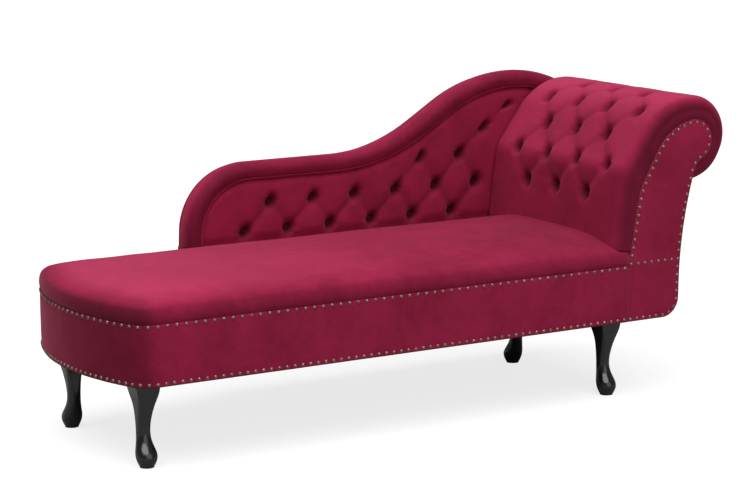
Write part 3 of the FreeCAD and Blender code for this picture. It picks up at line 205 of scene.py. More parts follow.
class ChaiseBack(bpy.types.PropertyGroup):
    """Crest, border and buttons of the back."""

    low: length("Low crest", "Height of the low part of the crest", 0.610)
    top: length("Peak", "Height of the crest peak", 0.800)
    corner: length("Shoulder", "Radius of the left shoulder", 0.180)
    low_run: length("Low run", "Straight stretch of the low crest", 0.255)
    slope: angle("Slope", "Steepest slope of the crest", 31.8)
    hollow: length("Hollow", "Radius before the crest rises", 0.495)
    fall: length("Fall", "Radius of the crest as it falls to the roll", 0.369)
    peak: length("Peak place", "Crest peak to the arm end", 0.268)
    border: length("Border", "Width of the padded border", 0.042)
    piping: length("Piping", "Diameter of the piping", 0.006)
    column: length("Columns", "Spacing of the buttons in a row", 0.1274)
    first: length("First button", "Left edge to the first button", 0.168)
    lean: length("Lean", "Sideways step from row to row", 0.0125)
    recess: length("Recess", "Buttoned panel behind the border front", 0.004)


class ChaiseTufting(bpy.types.PropertyGroup):
    """Depth and form of the buttoning."""

    button: length("Button", "Diameter of a covered button", 0.021)
    dome: length("Dome", "Height of a covered button", 0.006)
    depth: length("Depth", "How deep the buttons sit", 0.034)
    pleat: length("Pleat", "How deep the folds between buttons are", 0.0024)
    rise: length("Rise", "How far the diamonds stand up", 0.0025)


class ChaiseTrim(bpy.types.PropertyGroup):
    """Decorative nails."""

    nail: length("Nail", "Diameter of a nail head", 0.0092)
    dome: length("Dome", "Height of a nail head", 0.003)
    upper_pitch: length("Upper pitch", "Spacing along the band top", 0.024)
    lower_pitch: length("Lower pitch", "Spacing of the other nails", 0.021)
    lower_rise: length("Lower rise", "Lowest nail line over the base of the band", 0.007)
    brass: colour("Brass", "Antique brass of the nail heads", (0.45, 0.33, 0.27))


class ChaiseStudio(bpy.types.PropertyGroup):
    """Camera and light."""

    sun: number("Sun", "Strength of the light from above", 3.5)
    sun_spread: angle("Spread", "Apparent width of that light", 70.0)
    sun_tilt: angle("Tilt", "Lean of that light to the front", 14.0)
    sun_lean: angle("Lean", "Lean of that light to the foot end", -10.0)
    ambient: number("Ambient", "Light from all round", 0.13)
    fill: number("Fill", "Strength of the light from the front", 0.52)
    fill_tilt: angle("Fill tilt", "Lean of the front light from straight down", 68.0)
    fill_turn: angle("Fill turn", "Direction of the front light round the piece", 6.0)
    fill_spread: angle("Fill spread", "Apparent width of the front light", 50.0)
    floor_shade: share("Floor shade", "How pale the floor is", 0.30)
    floor_glow: share("Floor glow", "Light the floor gives the picture by itself", 0.78)

    azimuth: angle("Azimuth", "Camera direction round the piece", -30.733)
    elevation: angle("Elevation", "Camera direction above the floor", 10.399)
    roll: angle("Roll", "Turn of the camera about its own axis", -0.307)
    distance: length("Distance", "Camera to the aim point", 5.938)
    aim: bpy.props.FloatVectorProperty(name="Aim", description="Point that the camera looks at", size=3,
                                       default=(0.0296, 0.0648, 0.386), subtype="XYZ", unit="LENGTH")
    lens: bpy.props.FloatProperty(name="Lens", description="Focal length on a 36 mm sensor", default=111.6,
                                  unit="CAMERA")


GROUPS = {
    "chaise_velvet": ChaiseVelvet,
    "chaise_pile": ChaisePaintedLightAndShade,
    "chaise_seat": ChaiseSeat,
    "chaise_arm": ChaiseArm,
    "chaise_facing": ChaiseFacing,
    "chaise_back": ChaiseBack,
    "chaise_tufting": ChaiseTufting,
    "chaise_trim": ChaiseTrim,
    "chaise_studio": ChaiseStudio,
}


# Lines

def straight(run):
    """A straight step of an outline: length and turn."""
    return (run, 0.0)


def bend(radius, turn):
    """A round step of an outline: arc length and turn, positive to the left."""
    return (radius * abs(turn), turn)


class Outline:
    """A line in one plane that runs on by straight and round steps."""

    def __init__(self, start, heading, steps):
        self.start = start
        self.heading = heading
        self.steps = steps
        self.length = sum(run for run, _ in steps)

    def at(self, distance):
        """First coordinate, second coordinate and heading at distances along the line."""
        distance = np.atleast_1d(np.asarray(distance, float))
        first = np.zeros_like(distance)
        second = np.zeros_like(distance)
        way = np.zeros_like(distance)
        (x, y), heading, gone = self.start, self.heading, 0.0
        for index, (run, turn) in enumerate(self.steps):
            here = distance >= gone - 1e-9 if index else np.ones(len(distance), bool)
            along = distance[here] - gone
            if turn == 0.0 or run == 0.0:
                first[here] = x + along * math.cos(heading)
                second[here] = y + along * math.sin(heading)
                way[here] = heading
                x, y = x + run * math.cos(heading), y + run * math.sin(heading)
            else:
                radius = run / turn
                angle = heading + along / radius
                first[here] = x + radius * (np.sin(angle) - math.sin(heading))
                second[here] = y - radius * (np.cos(angle) - math.cos(heading))
                way[here] = angle
                x += radius * (math.sin(heading + turn) - math.sin(heading))
                y -= radius * (math.cos(heading + turn) - math.cos(heading))
                heading += turn
            gone += run
        return first, second, way

    def beside(self, distance, offset):
        """Points an offset to the left of the line, and the heading there."""
        x, y, way = self.at(distance)
        return x - offset * np.sin(way), y + offset * np.cos(way), way

    def end(self):
        """The last point and the heading there."""
        x, y, way = self.at(self.length)
        return (float(x[0]), float(y[0])), float(way[0])

    def reverse(self):
        """The same line run from its end to its start."""
        point, way = self.end()
        return Outline(point, way + math.pi, [(run, -turn) for run, turn in reversed(self.steps)])

    def then(self, other_steps):
        """This line with more steps after its end."""
        return Outline(self.start, self.heading, self.steps + other_steps)


CURVE_STEPS = 24
SEED_SHIFT = Vector((7.31, 3.17, 5.73))


def smooth_curve(knots, count):
    """Points evenly spaced on a smooth curve through a list of knots."""
    knots = np.asarray(knots, float)
    ends = np.vstack([2 * knots[0] - knots[1], knots, 2 * knots[-1] - knots[-2]])
    fine = []
    steps = np.linspace(0, 1, CURVE_STEPS, endpoint=False)[:, None]
    for p0, p1, p2, p3 in zip(ends, ends[1:], ends[2:], ends[3:]):
        fine.append(0.5 * (2 * p1 + (p2 - p0) * steps + (2 * p0 - 5 * p1 + 4 * p2 - p3) * steps ** 2
                           + (3 * p1 - p0 - 3 * p2 + p3) * steps ** 3))
    fine = np.vstack(fine + [knots[-1:]])
    gone = np.concatenate([[0], np.cumsum(np.linalg.norm(np.diff(fine, axis=0), axis=1))])
    spots = np.linspace(0, gone[-1], count)
    return np.column_stack([np.interp(spots, gone, fine[:, k]) for k in range(fine.shape[1])])


def ripple(points, size, seed):
    """Soft irregular values between about -1 and 1 for an array of points."""
    shift = seed * SEED_SHIFT
    return np.array([noise.noise(Vector(p) / size + shift) for p in points])


def nearest(shares, steps):
    """Numbers of the steps nearest to shares between 0 and 1."""
    return np.rint(shares * steps).astype(int)


def waves(points, kinds):
    """Sum of ripples, each given as height, size and seed."""
    return sum(height * ripple(points, size, seed) for height, size, seed in kinds)


def ramp(values, start, span):
    """Share from 0 to 1 as values go from a start over a span, which may be negative."""
    return np.clip((values - start) / span, 0, 1)


# Modelling helpers

# Degrees under which faces of a CAD piece count as one, and over which an edge is rounded.
FLAT_ANGLE = 1.0
SHARP_ANGLE = 35.0


def sizes(group):
    """The property group of that name."""
    return getattr(bpy.context.scene, group)


def deselect():
    """Leave nothing selected."""
    bpy.ops.object.select_all(action="DESELECT")


def pick(piece):
    """Make one object the only selected and active one."""
    deselect()
    piece.select_set(True)
    bpy.context.view_layer.objects.active = piece


def finish_modifier(piece, kind, **settings):
    """Add a modifier to a piece, set it up and apply it."""
    pick(piece)
    bpy.ops.object.modifier_add(type=kind)
    modifier = piece.modifiers[-1]
    for key, value in settings.items():
        setattr(modifier, key, value)
    bpy.ops.object.modifier_apply(modifier=modifier.name)


def in_edit_mode(piece, *actions):
    """Run mesh operators on everything in a piece."""
    pick(piece)
    bpy.ops.object.mode_set(mode="EDIT")
    bpy.ops.mesh.select_all(action="SELECT")
    for action in actions:
        action()
    bpy.ops.object.mode_set(mode="OBJECT")


def grid_piece(name, columns, rows, place, merge=0.0, tone=None):
    """A grid of vertices, each moved to place(u, v) for shares u and v between 0 and 1.

    tone gives the painted shade at the same shares, and below 0 the painted light.
    """
    deselect()
    bpy.ops.mesh.primitive_grid_add(x_subdivisions=columns, y_subdivisions=rows, size=2.0)
    piece = bpy.context.object
    piece.name = name
    mesh = piece.data
    flat = np.empty(len(mesh.vertices) * 3)
    mesh.vertices.foreach_get("co", flat)
    flat = flat.reshape(-1, 3)
    u = np.clip((flat[:, 0] + 1) / 2, 0, 1)
    v = np.clip((flat[:, 1] + 1) / 2, 0, 1)
    mesh.vertices.foreach_set("co", np.ascontiguousarray(place(u, v), float).ravel())
    mesh.update()
    if tone:
        paint_light_and_shade(piece, tone(u, v))
    if merge:
        in_edit_mode(piece, lambda: bpy.ops.mesh.remove_doubles(threshold=merge))
    return piece


def paint_light_and_shade(piece, tone):
    """Write the painted shade at each vertex, and below 0 the painted light, for the velvet to read."""
    # The pile attribute holds painted light and shade.
    layer = piece.data.attributes.new("pile", "FLOAT", "POINT")
    layer.data.foreach_set("value", np.array(np.broadcast_to(tone, len(layer.data)), float))


def vertices_of(piece):
    """The points of a piece, one to a row."""
    flat = np.empty(len(piece.data.vertices) * 3)
    piece.data.vertices.foreach_get("co", flat)
    return flat.reshape(-1, 3)


def set_vertices(piece, points):
    """Move the points of a piece."""
    piece.data.vertices.foreach_set("co", np.ascontiguousarray(points, float).ravel())
    piece.data.update()


def close_up(piece):
    """Fill the open ends of a piece and point its faces outwards."""
    in_edit_mode(piece, lambda: bpy.ops.mesh.fill_holes(sides=0),
                 lambda: bpy.ops.mesh.normals_make_consistent(inside=False))


def face_away(piece, inside):
    """Turn the normals of an open surface away from a point behind it."""
    total = sum((face.center - inside).dot(face.normal) * face.area for face in piece.data.polygons)
    if total < 0:
        in_edit_mode(piece, bpy.ops.mesh.flip_normals)


def give_thickness(piece):
    """Give an open surface the thickness of the cloth, on its inner side."""
    finish_modifier(piece, "SOLIDIFY", thickness=sizes("chaise_velvet").cloth, offset=-1.0,
                    use_even_offset=False, use_rim=True)


def mesh_piece(name, points, faces):
    """A piece from its points and faces."""
    mesh = bpy.data.meshes.new(name)
    mesh.from_pydata(points, [], faces)
    piece = bpy.data.objects.new(name, mesh)
    bpy.context.scene.collection.objects.link(piece)
    return piece


def hand_over(piece, slot, nodes=(), smooth=None):
    """Material and shading of a finished piece; it goes under the root body and its CAD nodes are hidden."""
    pick(piece)
    if smooth is None:
        bpy.ops.object.shade_smooth()
    else:
        bpy.ops.object.shade_smooth_by_angle(angle=math.radians(smooth))
    piece.data.materials.clear()
    piece.data.materials.append(finish_of(slot))
    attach(piece, "root")
    if nodes:
        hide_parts(*nodes)
    return piece


def hand_over_cloth(piece, behind, nodes):
    """Finish an open velvet surface that faces away from a point behind it."""
    face_away(piece, Vector(behind))
    give_thickness(piece)
    hand_over(piece, "velvet", nodes)


def dressed_copy(node, name, edge):
    """A copy of a CAD piece with its doubled points merged and its sharp edges rounded."""
    source = frame["nodes"][node]
    piece = bpy.data.objects.new(name, source.data.copy())
    bpy.context.scene.collection.objects.link(piece)
    in_edit_mode(piece, lambda: bpy.ops.mesh.remove_doubles(threshold=1e-5),
                 lambda: bpy.ops.mesh.dissolve_limited(angle_limit=math.radians(FLAT_ANGLE)))
    finish_modifier(piece, "BEVEL", width=edge, segments=3, limit_method="ANGLE",
                    angle_limit=math.radians(SHARP_ANGLE), use_clamp_overlap=True)
    in_edit_mode(piece, lambda: bpy.ops.mesh.normals_make_consistent(inside=False))
    return piece


def many_copies(name, model, places):
    """One object that holds a copy of a model at each place, given as 4 by 4 matrices."""
    points = vertices_of(model)
    faces = [tuple(face.vertices) for face in model.data.polygons]
    count = len(points)
    all_points = []
    all_faces = []
    for index, place in enumerate(places):
        matrix = np.array(place)
        all_points.append(points @ matrix[:3, :3].T + matrix[:3, 3])
        all_faces += [tuple(corner + index * count for corner in face) for face in faces]
    piece = mesh_piece(name, np.vstack(all_points).tolist(), all_faces)
    # Carry the painted light and shade of the model over to its copies.
    if "pile" in model.data.attributes:
        paint_light_and_shade(piece, model.data.attributes["pile"].data[0].value)
    bpy.data.objects.remove(model)
    return piece


def standing_on(spot, normal, spin=0.0):
    """A matrix that stands a model on a spot with its +Z along a normal."""
    turn = Vector(normal).to_track_quat("Z", "Y").to_matrix().to_4x4()
    return Matrix.Translation(Vector(spot)) @ turn @ Matrix.Rotation(spin, 4, "Z")


# Outlines of the piece

# Turn of the arm pad from its highest point round the roll and back in under it.
ROLL_TURN = math.radians(175)


def seat_edge():
    """Height where the side of the seat turns into its top."""
    return BAND_HIGH.z + sizes("chaise_seat").edge_height


def lowest_nails():
    """Height of the lowest nail line."""
    return BAND_LOW.z + sizes("chaise_trim").lower_rise


def seat_outline(inset, head_x):
    """Seat outline from above: front side, bowed foot end, rear side."""
    seat = sizes("chaise_seat")
    front, rear, bow_x = BAND_LOW.y, BAND_HIGH.y, BAND_LOW.x
    middle = (front + rear) / 2
    chord = (rear - front) / 2
    half = chord - inset
    bow_radius = (chord ** 2 + seat.bow_depth ** 2) / (2 * seat.bow_depth)
    centre_x = bow_x + bow_radius
    corner = max(seat.corner - inset, seat.corner / 5)
    bow = bow_radius - inset
    corner_x = centre_x - math.sqrt((bow - corner) ** 2 - (half - corner) ** 2)
    lean = math.atan2(half - corner, centre_x - corner_x)
    steps = [straight(head_x - corner_x), bend(corner, -(math.pi / 2 - lean)), bend(bow, -2 * lean),
             bend(corner, -(math.pi / 2 - lean)), straight(head_x - corner_x)]
    return Outline((head_x, middle - half), math.pi, steps)


def arm_outline():
    """Pad profile from the seat up, over the roll and back in under it."""
    arm = sizes("chaise_arm")
    top = (RIGHT_END - arm.roll, arm.top)
    down = Outline(top, math.pi, [bend(arm.shoulder, arm.shoulder_turn), straight(arm.slope),
                                  bend(arm.foot, arm.foot_turn)])
    (_, z), heading = down.end()
    down = down.then([straight((z - arm.pad_foot) / -math.sin(heading))])
    return down.reverse().then([bend(arm.roll, -ROLL_TURN)])


def facing_outline():
    """Nail line of the arm facing from its inner lower end over the scroll to the outer corner."""
    face = sizes("chaise_facing")
    arm = sizes("chaise_arm")
    top = (RIGHT_END - arm.roll + face.shift, arm.top - arm.roll - face.drop + face.scroll)
    bottom = lowest_nails()
    down = Outline(top, math.pi, [bend(face.top, face.top_turn), bend(face.shoulder, face.shoulder_turn),
                                  straight(face.slope), bend(face.waist, face.waist_turn),
                                  straight(face.shank), bend(face.foot, face.foot_turn)])
    (_, z), _ = down.end()
    inner = down.then([straight(z - bottom)]).reverse()
    outer = [bend(face.scroll, -face.scroll_turn), bend(face.neck, face.neck_turn),
             bend(face.side, face.side_turn)]
    (x, z), heading = Outline(top, 0.0, outer).end()
    turn = heading + math.pi
    drop = face.corner * (1 - math.cos(turn))
    outer += [straight((z - bottom - drop) / -math.sin(heading)), bend(face.corner, -turn)]
    return inner.then(outer)


def crest_outline():
    """Outer edge of the back from its left lower end over the crest to the arm roll."""
    back = sizes("chaise_back")
    peak_x = RIGHT_END - back.peak
    steps = [straight(back.low - back.corner - seat_edge()), bend(back.corner, -math.pi / 2),
             straight(back.low_run), bend(back.hollow, back.slope)]
    first = Outline((BACK_LEFT, seat_edge()), math.pi / 2, steps)
    (x, z), _ = first.end()
    sine, cosine = math.sin(back.slope), math.cos(back.slope)
    rise, run = back.top - z, peak_x - x
    radius = (run * sine - rise * cosine) / (sine ** 2 - (1 - cosine) * cosine)
    ramp = (run - radius * sine) / cosine
    fall = math.asin((RIGHT_END - sizes("chaise_arm").roll - peak_x) / back.fall)
    return first.then([straight(ramp), bend(radius, -back.slope), bend(back.fall, -fall)])


# Buttoning

# Reach of a button, of its pit, which is sunk and painted with shade, and of a fold, in half spacings of the
# buttons.
BUTTON_REACH = 0.46
PIT_REACH = 0.21
FOLD_REACH = 0.42
# How fast the relief fades outside the buttoned field, by half spacings, and the weight of steps across it.
FOLD_FADE = 2.2
ACROSS_WEIGHT = 0.8
# How much of a fold a button takes up.
FOLD_LOSS = 0.4
# Fine pleats round a button: their depth, the share of their reach that stays smooth next to the button, and
# two fans of them, each as the number of pleats, the turn from one button to the next and the weight.
GATHER_DEPTH = 0.0007
GATHER_HOLLOW = 0.35
GATHER_FANS = ((7, 2.4, 1.0), (11, -1.7, 0.6))
BACK_GATHER = 0.026
ARM_GATHER = 0.028

# Heights of the rows of buttons on the back.
BACK_ROWS = (0.428, 0.503, 0.585, 0.653, 0.706)
# Buttons as column and row: columns count half spacings, and rows count from the lowest.
BACK_BUTTONS = [(column, 0) for column in range(0, 11, 2)] + [(column, 1) for column in range(1, 12, 2)]
BACK_BUTTONS += [(8, 2), (10, 2), (11, 3), (12, 4)]
# The highest row with buttons at a column of the back, and the last column with buttons at a row.
TOP_ROW_COLUMNS = (7.0, 8.0, 10.0, 11.0, 12.0)
TOP_ROWS = (1.0, 2.0, 2.0, 3.0, 4.0)
LAST_COLUMN_ROWS = (1.0, 3.0, 4.0)
LAST_COLUMNS = (11.0, 11.0, 12.0)
ARM_TOP_ROW = 4
ARM_LAST_COLUMN = 3
ARM_BUTTONS = [(column, row) for row in (0, 2, 4) for column in (-2, 0, 2)]
ARM_BUTTONS += [(column, row) for row in (1, 3) for column in (-3, -1, 1, 3)]


def tufted(column, row):
    """Fold share and nearness to a button, from lattice places with buttons where both add up even."""
    across = np.abs(np.sin(math.pi * (column + row) / 2))
    along = np.abs(np.sin(math.pi * (column - row) / 2))
    fold = np.exp(-(np.minimum(across, along) / FOLD_REACH) ** 2)
    nearness = np.exp(-((across ** 2 + along ** 2) / BUTTON_REACH ** 2))
    return np.sqrt(across * along), fold, nearness


def tuft_height(fullness, fold, nearness, fade):
    """Height of the velvet over the pad line, negative in folds and at buttons."""
    tuft = sizes("chaise_tufting")
    pit = (tuft.depth - tuft.pleat) * nearness
    return fade * (tuft.rise * fullness - tuft.pleat * fold - pit)


def gathers(first, second, spots, reach):
    """Fine pleats that run out from each button, as a height in metres."""
    height = np.zeros_like(first)
    for index, (u, v) in enumerate(spots):
        away = np.hypot(first - u, second - v)
        turn = np.arctan2(second - v, first - u)
        fan = sum(weight * np.cos(count * turn + step * index) for count, step, weight in GATHER_FANS)
        hollow = np.exp(-(away / (GATHER_HOLLOW * reach)) ** 2)
        height += fan * np.exp(-(away / reach) ** 2) * (1 - hollow)
    return height * GATHER_DEPTH


def relief(column, row, held_column, held_row, pleats):
    """Height over the pad and painted shade at a place, held being the nearest buttoned place."""
    beyond = np.hypot(row - held_row, ACROSS_WEIGHT * (column - held_column))
    fade = np.exp(-FOLD_FADE * beyond)
    fullness, fold, nearness = tufted(held_column, held_row)
    pit = nearness * np.exp(-(beyond / PIT_REACH) ** 2)
    height = tuft_height(fullness, fold * (1 - FOLD_LOSS * nearness), pit, fade) + pleats
    # Painted shade in the button pits and along the folds.
    return height, pit + sizes("chaise_pile").fold * fold * fade


def back_lattice(x, z):
    """Column and row of a place on the back: row 0 is the lowest."""
    back = sizes("chaise_back")
    rows = np.array(BACK_ROWS)
    steps = np.arange(len(rows))
    row = np.interp(z, rows, steps)
    row = np.where(z < rows[0], (z - rows[0]) / (rows[1] - rows[0]), row)
    row = np.where(z > rows[-1], steps[-1] + (z - rows[-1]) / (rows[-1] - rows[-2]), row)
    column = (x - BACK_LEFT - back.first - back.lean * row) / (back.column / 2)
    return column, row


def back_place(column, row):
    """Where a button of the back stands, as X and Z."""
    back = sizes("chaise_back")
    return BACK_LEFT + back.first + column * back.column / 2 + back.lean * row, BACK_ROWS[row]


def back_surface(x, z):
    """Height of the buttoned back over its pad plane, and the painted shade there."""
    column, row = back_lattice(x, z)
    held_row = np.clip(row, 0.0, np.interp(column, TOP_ROW_COLUMNS, TOP_ROWS))
    held_column = np.clip(column, 0.0, np.interp(held_row, LAST_COLUMN_ROWS, LAST_COLUMNS))
    spots = [back_place(*button) for button in BACK_BUTTONS]
    return relief(column, row, held_column, held_row, gathers(x, z, spots, BACK_GATHER))


def arm_place(column, row):
    """Where a button of the arm stands: distance along the pad line and Y."""
    arm = sizes("chaise_arm")
    return arm.first_row + row * arm.row, ARM_MIDDLE + column * arm.column / 2


def arm_surface(gone, y):
    """Height of the buttoned arm over its pad line, and the painted shade there."""
    arm = sizes("chaise_arm")
    row = (gone - arm.first_row) / arm.row
    column = (y - ARM_MIDDLE) / (arm.column / 2)
    held_row = np.clip(row, 0.0, ARM_TOP_ROW)
    held_column = np.clip(column, -ARM_LAST_COLUMN, ARM_LAST_COLUMN)
    spots = [arm_place(*button) for button in ARM_BUTTONS]
    return relief(column, row, held_column, held_row, gathers(gone, y, spots, ARM_GATHER))


# Finishes

# Scale of a wave texture with bands a metre wide.
WAVE_SCALE = 0.31


class Value:
    """A shader socket that takes part in Python sums."""

    def __init__(self, nodes, socket):
        self.nodes = nodes
        self.socket = socket

    def sum_with(self, operation, first, second):
        """The result of a Math node."""
        return self.nodes.node("ShaderNodeMath", {"operation": operation}, {0: first, 1: second})

    def __add__(self, other):
        return self.sum_with("ADD", self, other)

    def __radd__(self, other):
        return self.sum_with("ADD", other, self)

    def __sub__(self, other):
        return self.sum_with("SUBTRACT", self, other)

    def __rsub__(self, other):
        return self.sum_with("SUBTRACT", other, self)

    def __mul__(self, other):
        return self.sum_with("MULTIPLY", self, other)

    def __rmul__(self, other):
        return self.sum_with("MULTIPLY", other, self)


class Nodes:
    """A node tree and the two ways to add to it."""

    def __init__(self, tree):
        self.tree = tree

    def node(self, kind, settings=None, inputs=None, output=0):
        """Add a node, set it up, then give its sockets values or links."""
        node = self.tree.nodes.new(kind)
        for key, value in (settings or {}).items():
            setattr(node, key, value)
        for key, value in (inputs or {}).items():
            self.join(value, node.inputs[key])
        return Value(self, node.outputs[output])

    def join(self, value, socket):
        """Link a value to a socket, or write a plain number or colour there."""
        if isinstance(value, Value):
            self.tree.links.new(value.socket, socket)
        elif isinstance(value, (tuple, list)) and len(value) == 3 and len(socket.default_value) == 4:
            socket.default_value = (*value, 1.0)
        else:
            socket.default_value = value


class Finish(Nodes):
    """A material and the nodes that make it."""

    def __init__(self, name, **settings):
        self.material = bpy.data.materials.new(name)
        self.material.use_nodes = True
        super().__init__(self.material.node_tree)
        self.shader = self.tree.nodes["Principled BSDF"]
        self.place = self.node("ShaderNodeTexCoord", output="Object")
        for socket, value in settings.items():
            self.set(socket.replace("_", " "), value)

    def set(self, socket, value):
        """Give a socket of the shader a value or a link."""
        self.join(value, self.shader.inputs[socket])

    def stretched(self, scale, turn=(0.0, 0.0, 0.0)):
        """Object coordinates scaled by three numbers and turned."""
        return self.node("ShaderNodeMapping", None, {"Vector": self.place, "Scale": scale, "Rotation": turn})

    def cloud(self, size, detail=2.0, roughness=0.5, distortion=0.0, place=None):
        """Soft noise whose features are about a size in metres."""
        return self.node("ShaderNodeTexNoise", None, {
            "Vector": place or self.place, "Scale": 1.0 / size, "Detail": detail,
            "Roughness": roughness, "Distortion": distortion}, "Fac")

    def between(self, value, low, high, to_low=0.0, to_high=1.0):
        """A value spread from one range to another, held at its ends."""
        return self.node("ShaderNodeMapRange", {"clamp": True}, {
            "Value": value, "From Min": low, "From Max": high, "To Min": to_low, "To Max": to_high})

    def blend(self, factor, first, second):
        """A colour between two colours."""
        return self.node("ShaderNodeMix", {"data_type": "RGBA"}, {0: factor, 6: first, 7: second}, 2)

    def bump(self, height, distance, strength=1.0, under=None):
        """A normal bent by a height, over another normal where one is given."""
        inputs = {"Height": height, "Distance": distance, "Strength": strength}
        if under is not None:
            inputs["Normal"] = under
        return self.node("ShaderNodeBump", None, inputs)


def velvet(name):
    """Crimson pile velvet: soft crushed patches, a fine pile, a bright edge, and the painted light and shade
    that each piece carries.
    """
    wish = sizes("chaise_velvet")
    finish = Finish(name, Sheen_Weight=wish.sheen, Sheen_Roughness=0.38,
                    Sheen_Tint=tuple(wish.sheen_tint), Specular_IOR_Level=0.12, IOR=1.4)
    drift = finish.cloud(0.16, 3.0, 0.55, 0.6)
    crush = finish.cloud(0.030, 3.0, 0.6, 0.8)
    nap = finish.between(0.62 * drift + 0.38 * crush, 0.36, 0.66)
    pile = finish.cloud(0.0009, 2.0, 0.6)
    tone = finish.between(0.82 * nap + 0.18 * pile, 0.0, 1.0)
    # Painted light and shade from each piece: above 0 towards the painted shade of the pit colour, below 0
    # towards the painted light colour.
    painted_light_and_shade = finish.node("ShaderNodeAttribute", {"attribute_name": "pile"}, output="Fac")
    plain = finish.blend(tone, tuple(wish.shade), tuple(wish.light))
    painted_light = finish.blend(finish.between(0 - painted_light_and_shade, 0.0, 1.0), plain, tuple(wish.painted_light))
    finish.set("Base Color", finish.blend(finish.between(painted_light_and_shade, 0.0, 1.0), painted_light, tuple(wish.pit)))
    finish.set("Roughness", finish.between(nap, 0.0, 1.0, 0.82, 0.68))
    brushed = finish.bump(crush, 0.0012, 0.35)
    finish.set("Normal", finish.bump(pile, 0.0003, 0.5, brushed))
    return finish.material


def antique_brass(name):
    """Dull patinated brass of the nail heads, darker in patches."""
    wish = sizes("chaise_trim")
    finish = Finish(name, Metallic=1.0)
    patina = finish.between(finish.cloud(0.004, 4.0, 0.7, 0.5), 0.38, 0.66)
    dark = tuple(0.35 * part for part in wish.brass)
    finish.set("Base Color", finish.blend(patina, dark, tuple(wish.brass)))
    finish.set("Roughness", finish.between(patina, 0.0, 1.0, 0.60, 0.40))
    finish.set("Normal", finish.bump(finish.cloud(0.0012, 2.0), 0.0001, 0.4))
    return finish.material


def black_lacquer(name):
    """Gloss black lacquer over wood, with a trace of grain and a few dull rubs."""
    finish = Finish(name, Coat_Weight=0.6, Coat_Roughness=0.08, Specular_IOR_Level=0.5)
    grain = finish.cloud(0.004, 4.0, 0.6, 0.3, finish.stretched((1.0, 1.0, 0.08)))
    rub = finish.between(finish.cloud(0.020, 4.0, 0.65, 0.4), 0.55, 0.75)
    finish.set("Base Color", finish.blend(grain, (0.004, 0.004, 0.004), (0.014, 0.013, 0.012)))
    finish.set("Roughness", 0.22 + 0.16 * rub)
    finish.set("Normal", finish.bump(grain, 0.0003, 0.25))
    return finish.material


def timber(name, dark, light, grain_size, stretch):
    """Planed wood with grain drawn out along one way."""
    finish = Finish(name, Specular_IOR_Level=0.3)
    grain = finish.cloud(grain_size, 5.0, 0.65, 1.2, finish.stretched(stretch))
    pores = finish.cloud(grain_size / 8, 3.0, 0.6, 0.2, finish.stretched(stretch))
    finish.set("Base Color", finish.blend(finish.between(0.8 * grain + 0.2 * pores, 0.35, 0.65), dark, light))
    finish.set("Roughness", finish.between(pores, 0.3, 0.7, 0.55, 0.75))
    finish.set("Normal", finish.bump(grain + 0.5 * pores, 0.0004, 0.5))
    return finish.material


def woven(name, dark, light, thread):
    """Plain weave: two sets of ribs that pass over and under."""
    finish = Finish(name, Roughness=0.9, Specular_IOR_Level=0.1, Sheen_Weight=0.2)
    warp, weft = (finish.node("ShaderNodeTexWave", {"bands_direction": way}, {
        "Vector": finish.place, "Scale": WAVE_SCALE / thread, "Distortion": 0.6}, "Fac") for way in "XY")
    weave = 0.5 * warp + 0.5 * weft
    slub = finish.cloud(0.01, 4.0, 0.7)
    finish.set("Base Color", finish.blend(finish.between(0.6 * weave + 0.4 * slub, 0.2, 0.8), dark, light))
    finish.set("Normal", finish.bump(weave, 0.0006, 0.6))
    return finish.material


def steel(name):
    """Zinc plated steel with faint brushing."""
    finish = Finish(name, Metallic=1.0)
    brush = finish.cloud(0.003, 3.0, 0.6, 0.0, finish.stretched((1.0, 0.05, 1.0)))
    finish.set("Base Color", finish.blend(brush, (0.42, 0.42, 0.40), (0.66, 0.66, 0.64)))
    finish.set("Roughness", finish.between(brush, 0.3, 0.7, 0.3, 0.5))
    return finish.material


def nylon(name):
    """Black moulded nylon with a fine texture."""
    finish = Finish(name, Specular_IOR_Level=0.4)
    texture = finish.cloud(0.0008, 2.0)
    finish.set("Base Color", finish.blend(texture, (0.010, 0.010, 0.010), (0.022, 0.022, 0.022)))
    finish.set("Roughness", finish.between(texture, 0.3, 0.7, 0.5, 0.7))
    finish.set("Normal", finish.bump(texture, 0.0001, 0.5))
    return finish.material


def foam_block(name):
    """Cream foam with open cells."""
    finish = Finish(name, Roughness=0.95, Specular_IOR_Level=0.1)
    cells = finish.node("ShaderNodeTexVoronoi", None, {"Vector": finish.place, "Scale": 700.0}, "Distance")
    finish.set("Base Color", finish.blend(cells, (0.62, 0.55, 0.36), (0.88, 0.82, 0.62)))
    finish.set("Normal", finish.bump(cells, 0.0006, 0.6))
    return finish.material


def beech(name):
    """Pale brown frame timber, with the grain along X."""
    return timber(name, (0.42, 0.26, 0.14), (0.68, 0.48, 0.30), 0.03, (0.06, 1.0, 1.0))


def hardboard(name):
    """Dark brown pressed board."""
    return timber(name, (0.16, 0.10, 0.05), (0.30, 0.19, 0.10), 0.004, (1.0, 1.0, 1.0))


def jute(name):
    """Coarse tan webbing."""
    return woven(name, (0.22, 0.15, 0.08), (0.52, 0.39, 0.23), 0.0022)


def hessian(name):
    """Straw-coloured sacking."""
    return woven(name, (0.28, 0.20, 0.11), (0.60, 0.48, 0.31), 0.0014)


def black_cambric(name):
    """Thin black dust cover."""
    return woven(name, (0.006, 0.006, 0.006), (0.03, 0.03, 0.03), 0.0006)


FINISHES = {
    "velvet": velvet,
    "foam": foam_block,
    "jute": jute,
    "hessian": hessian,
    "black_cambric": black_cambric,
    "black_lacquer": black_lacquer,
    "antique_brass": antique_brass,
    "zinc_steel": steel,
    "nylon": nylon,
    "hardboard": hardboard,
    "beech": beech,
}


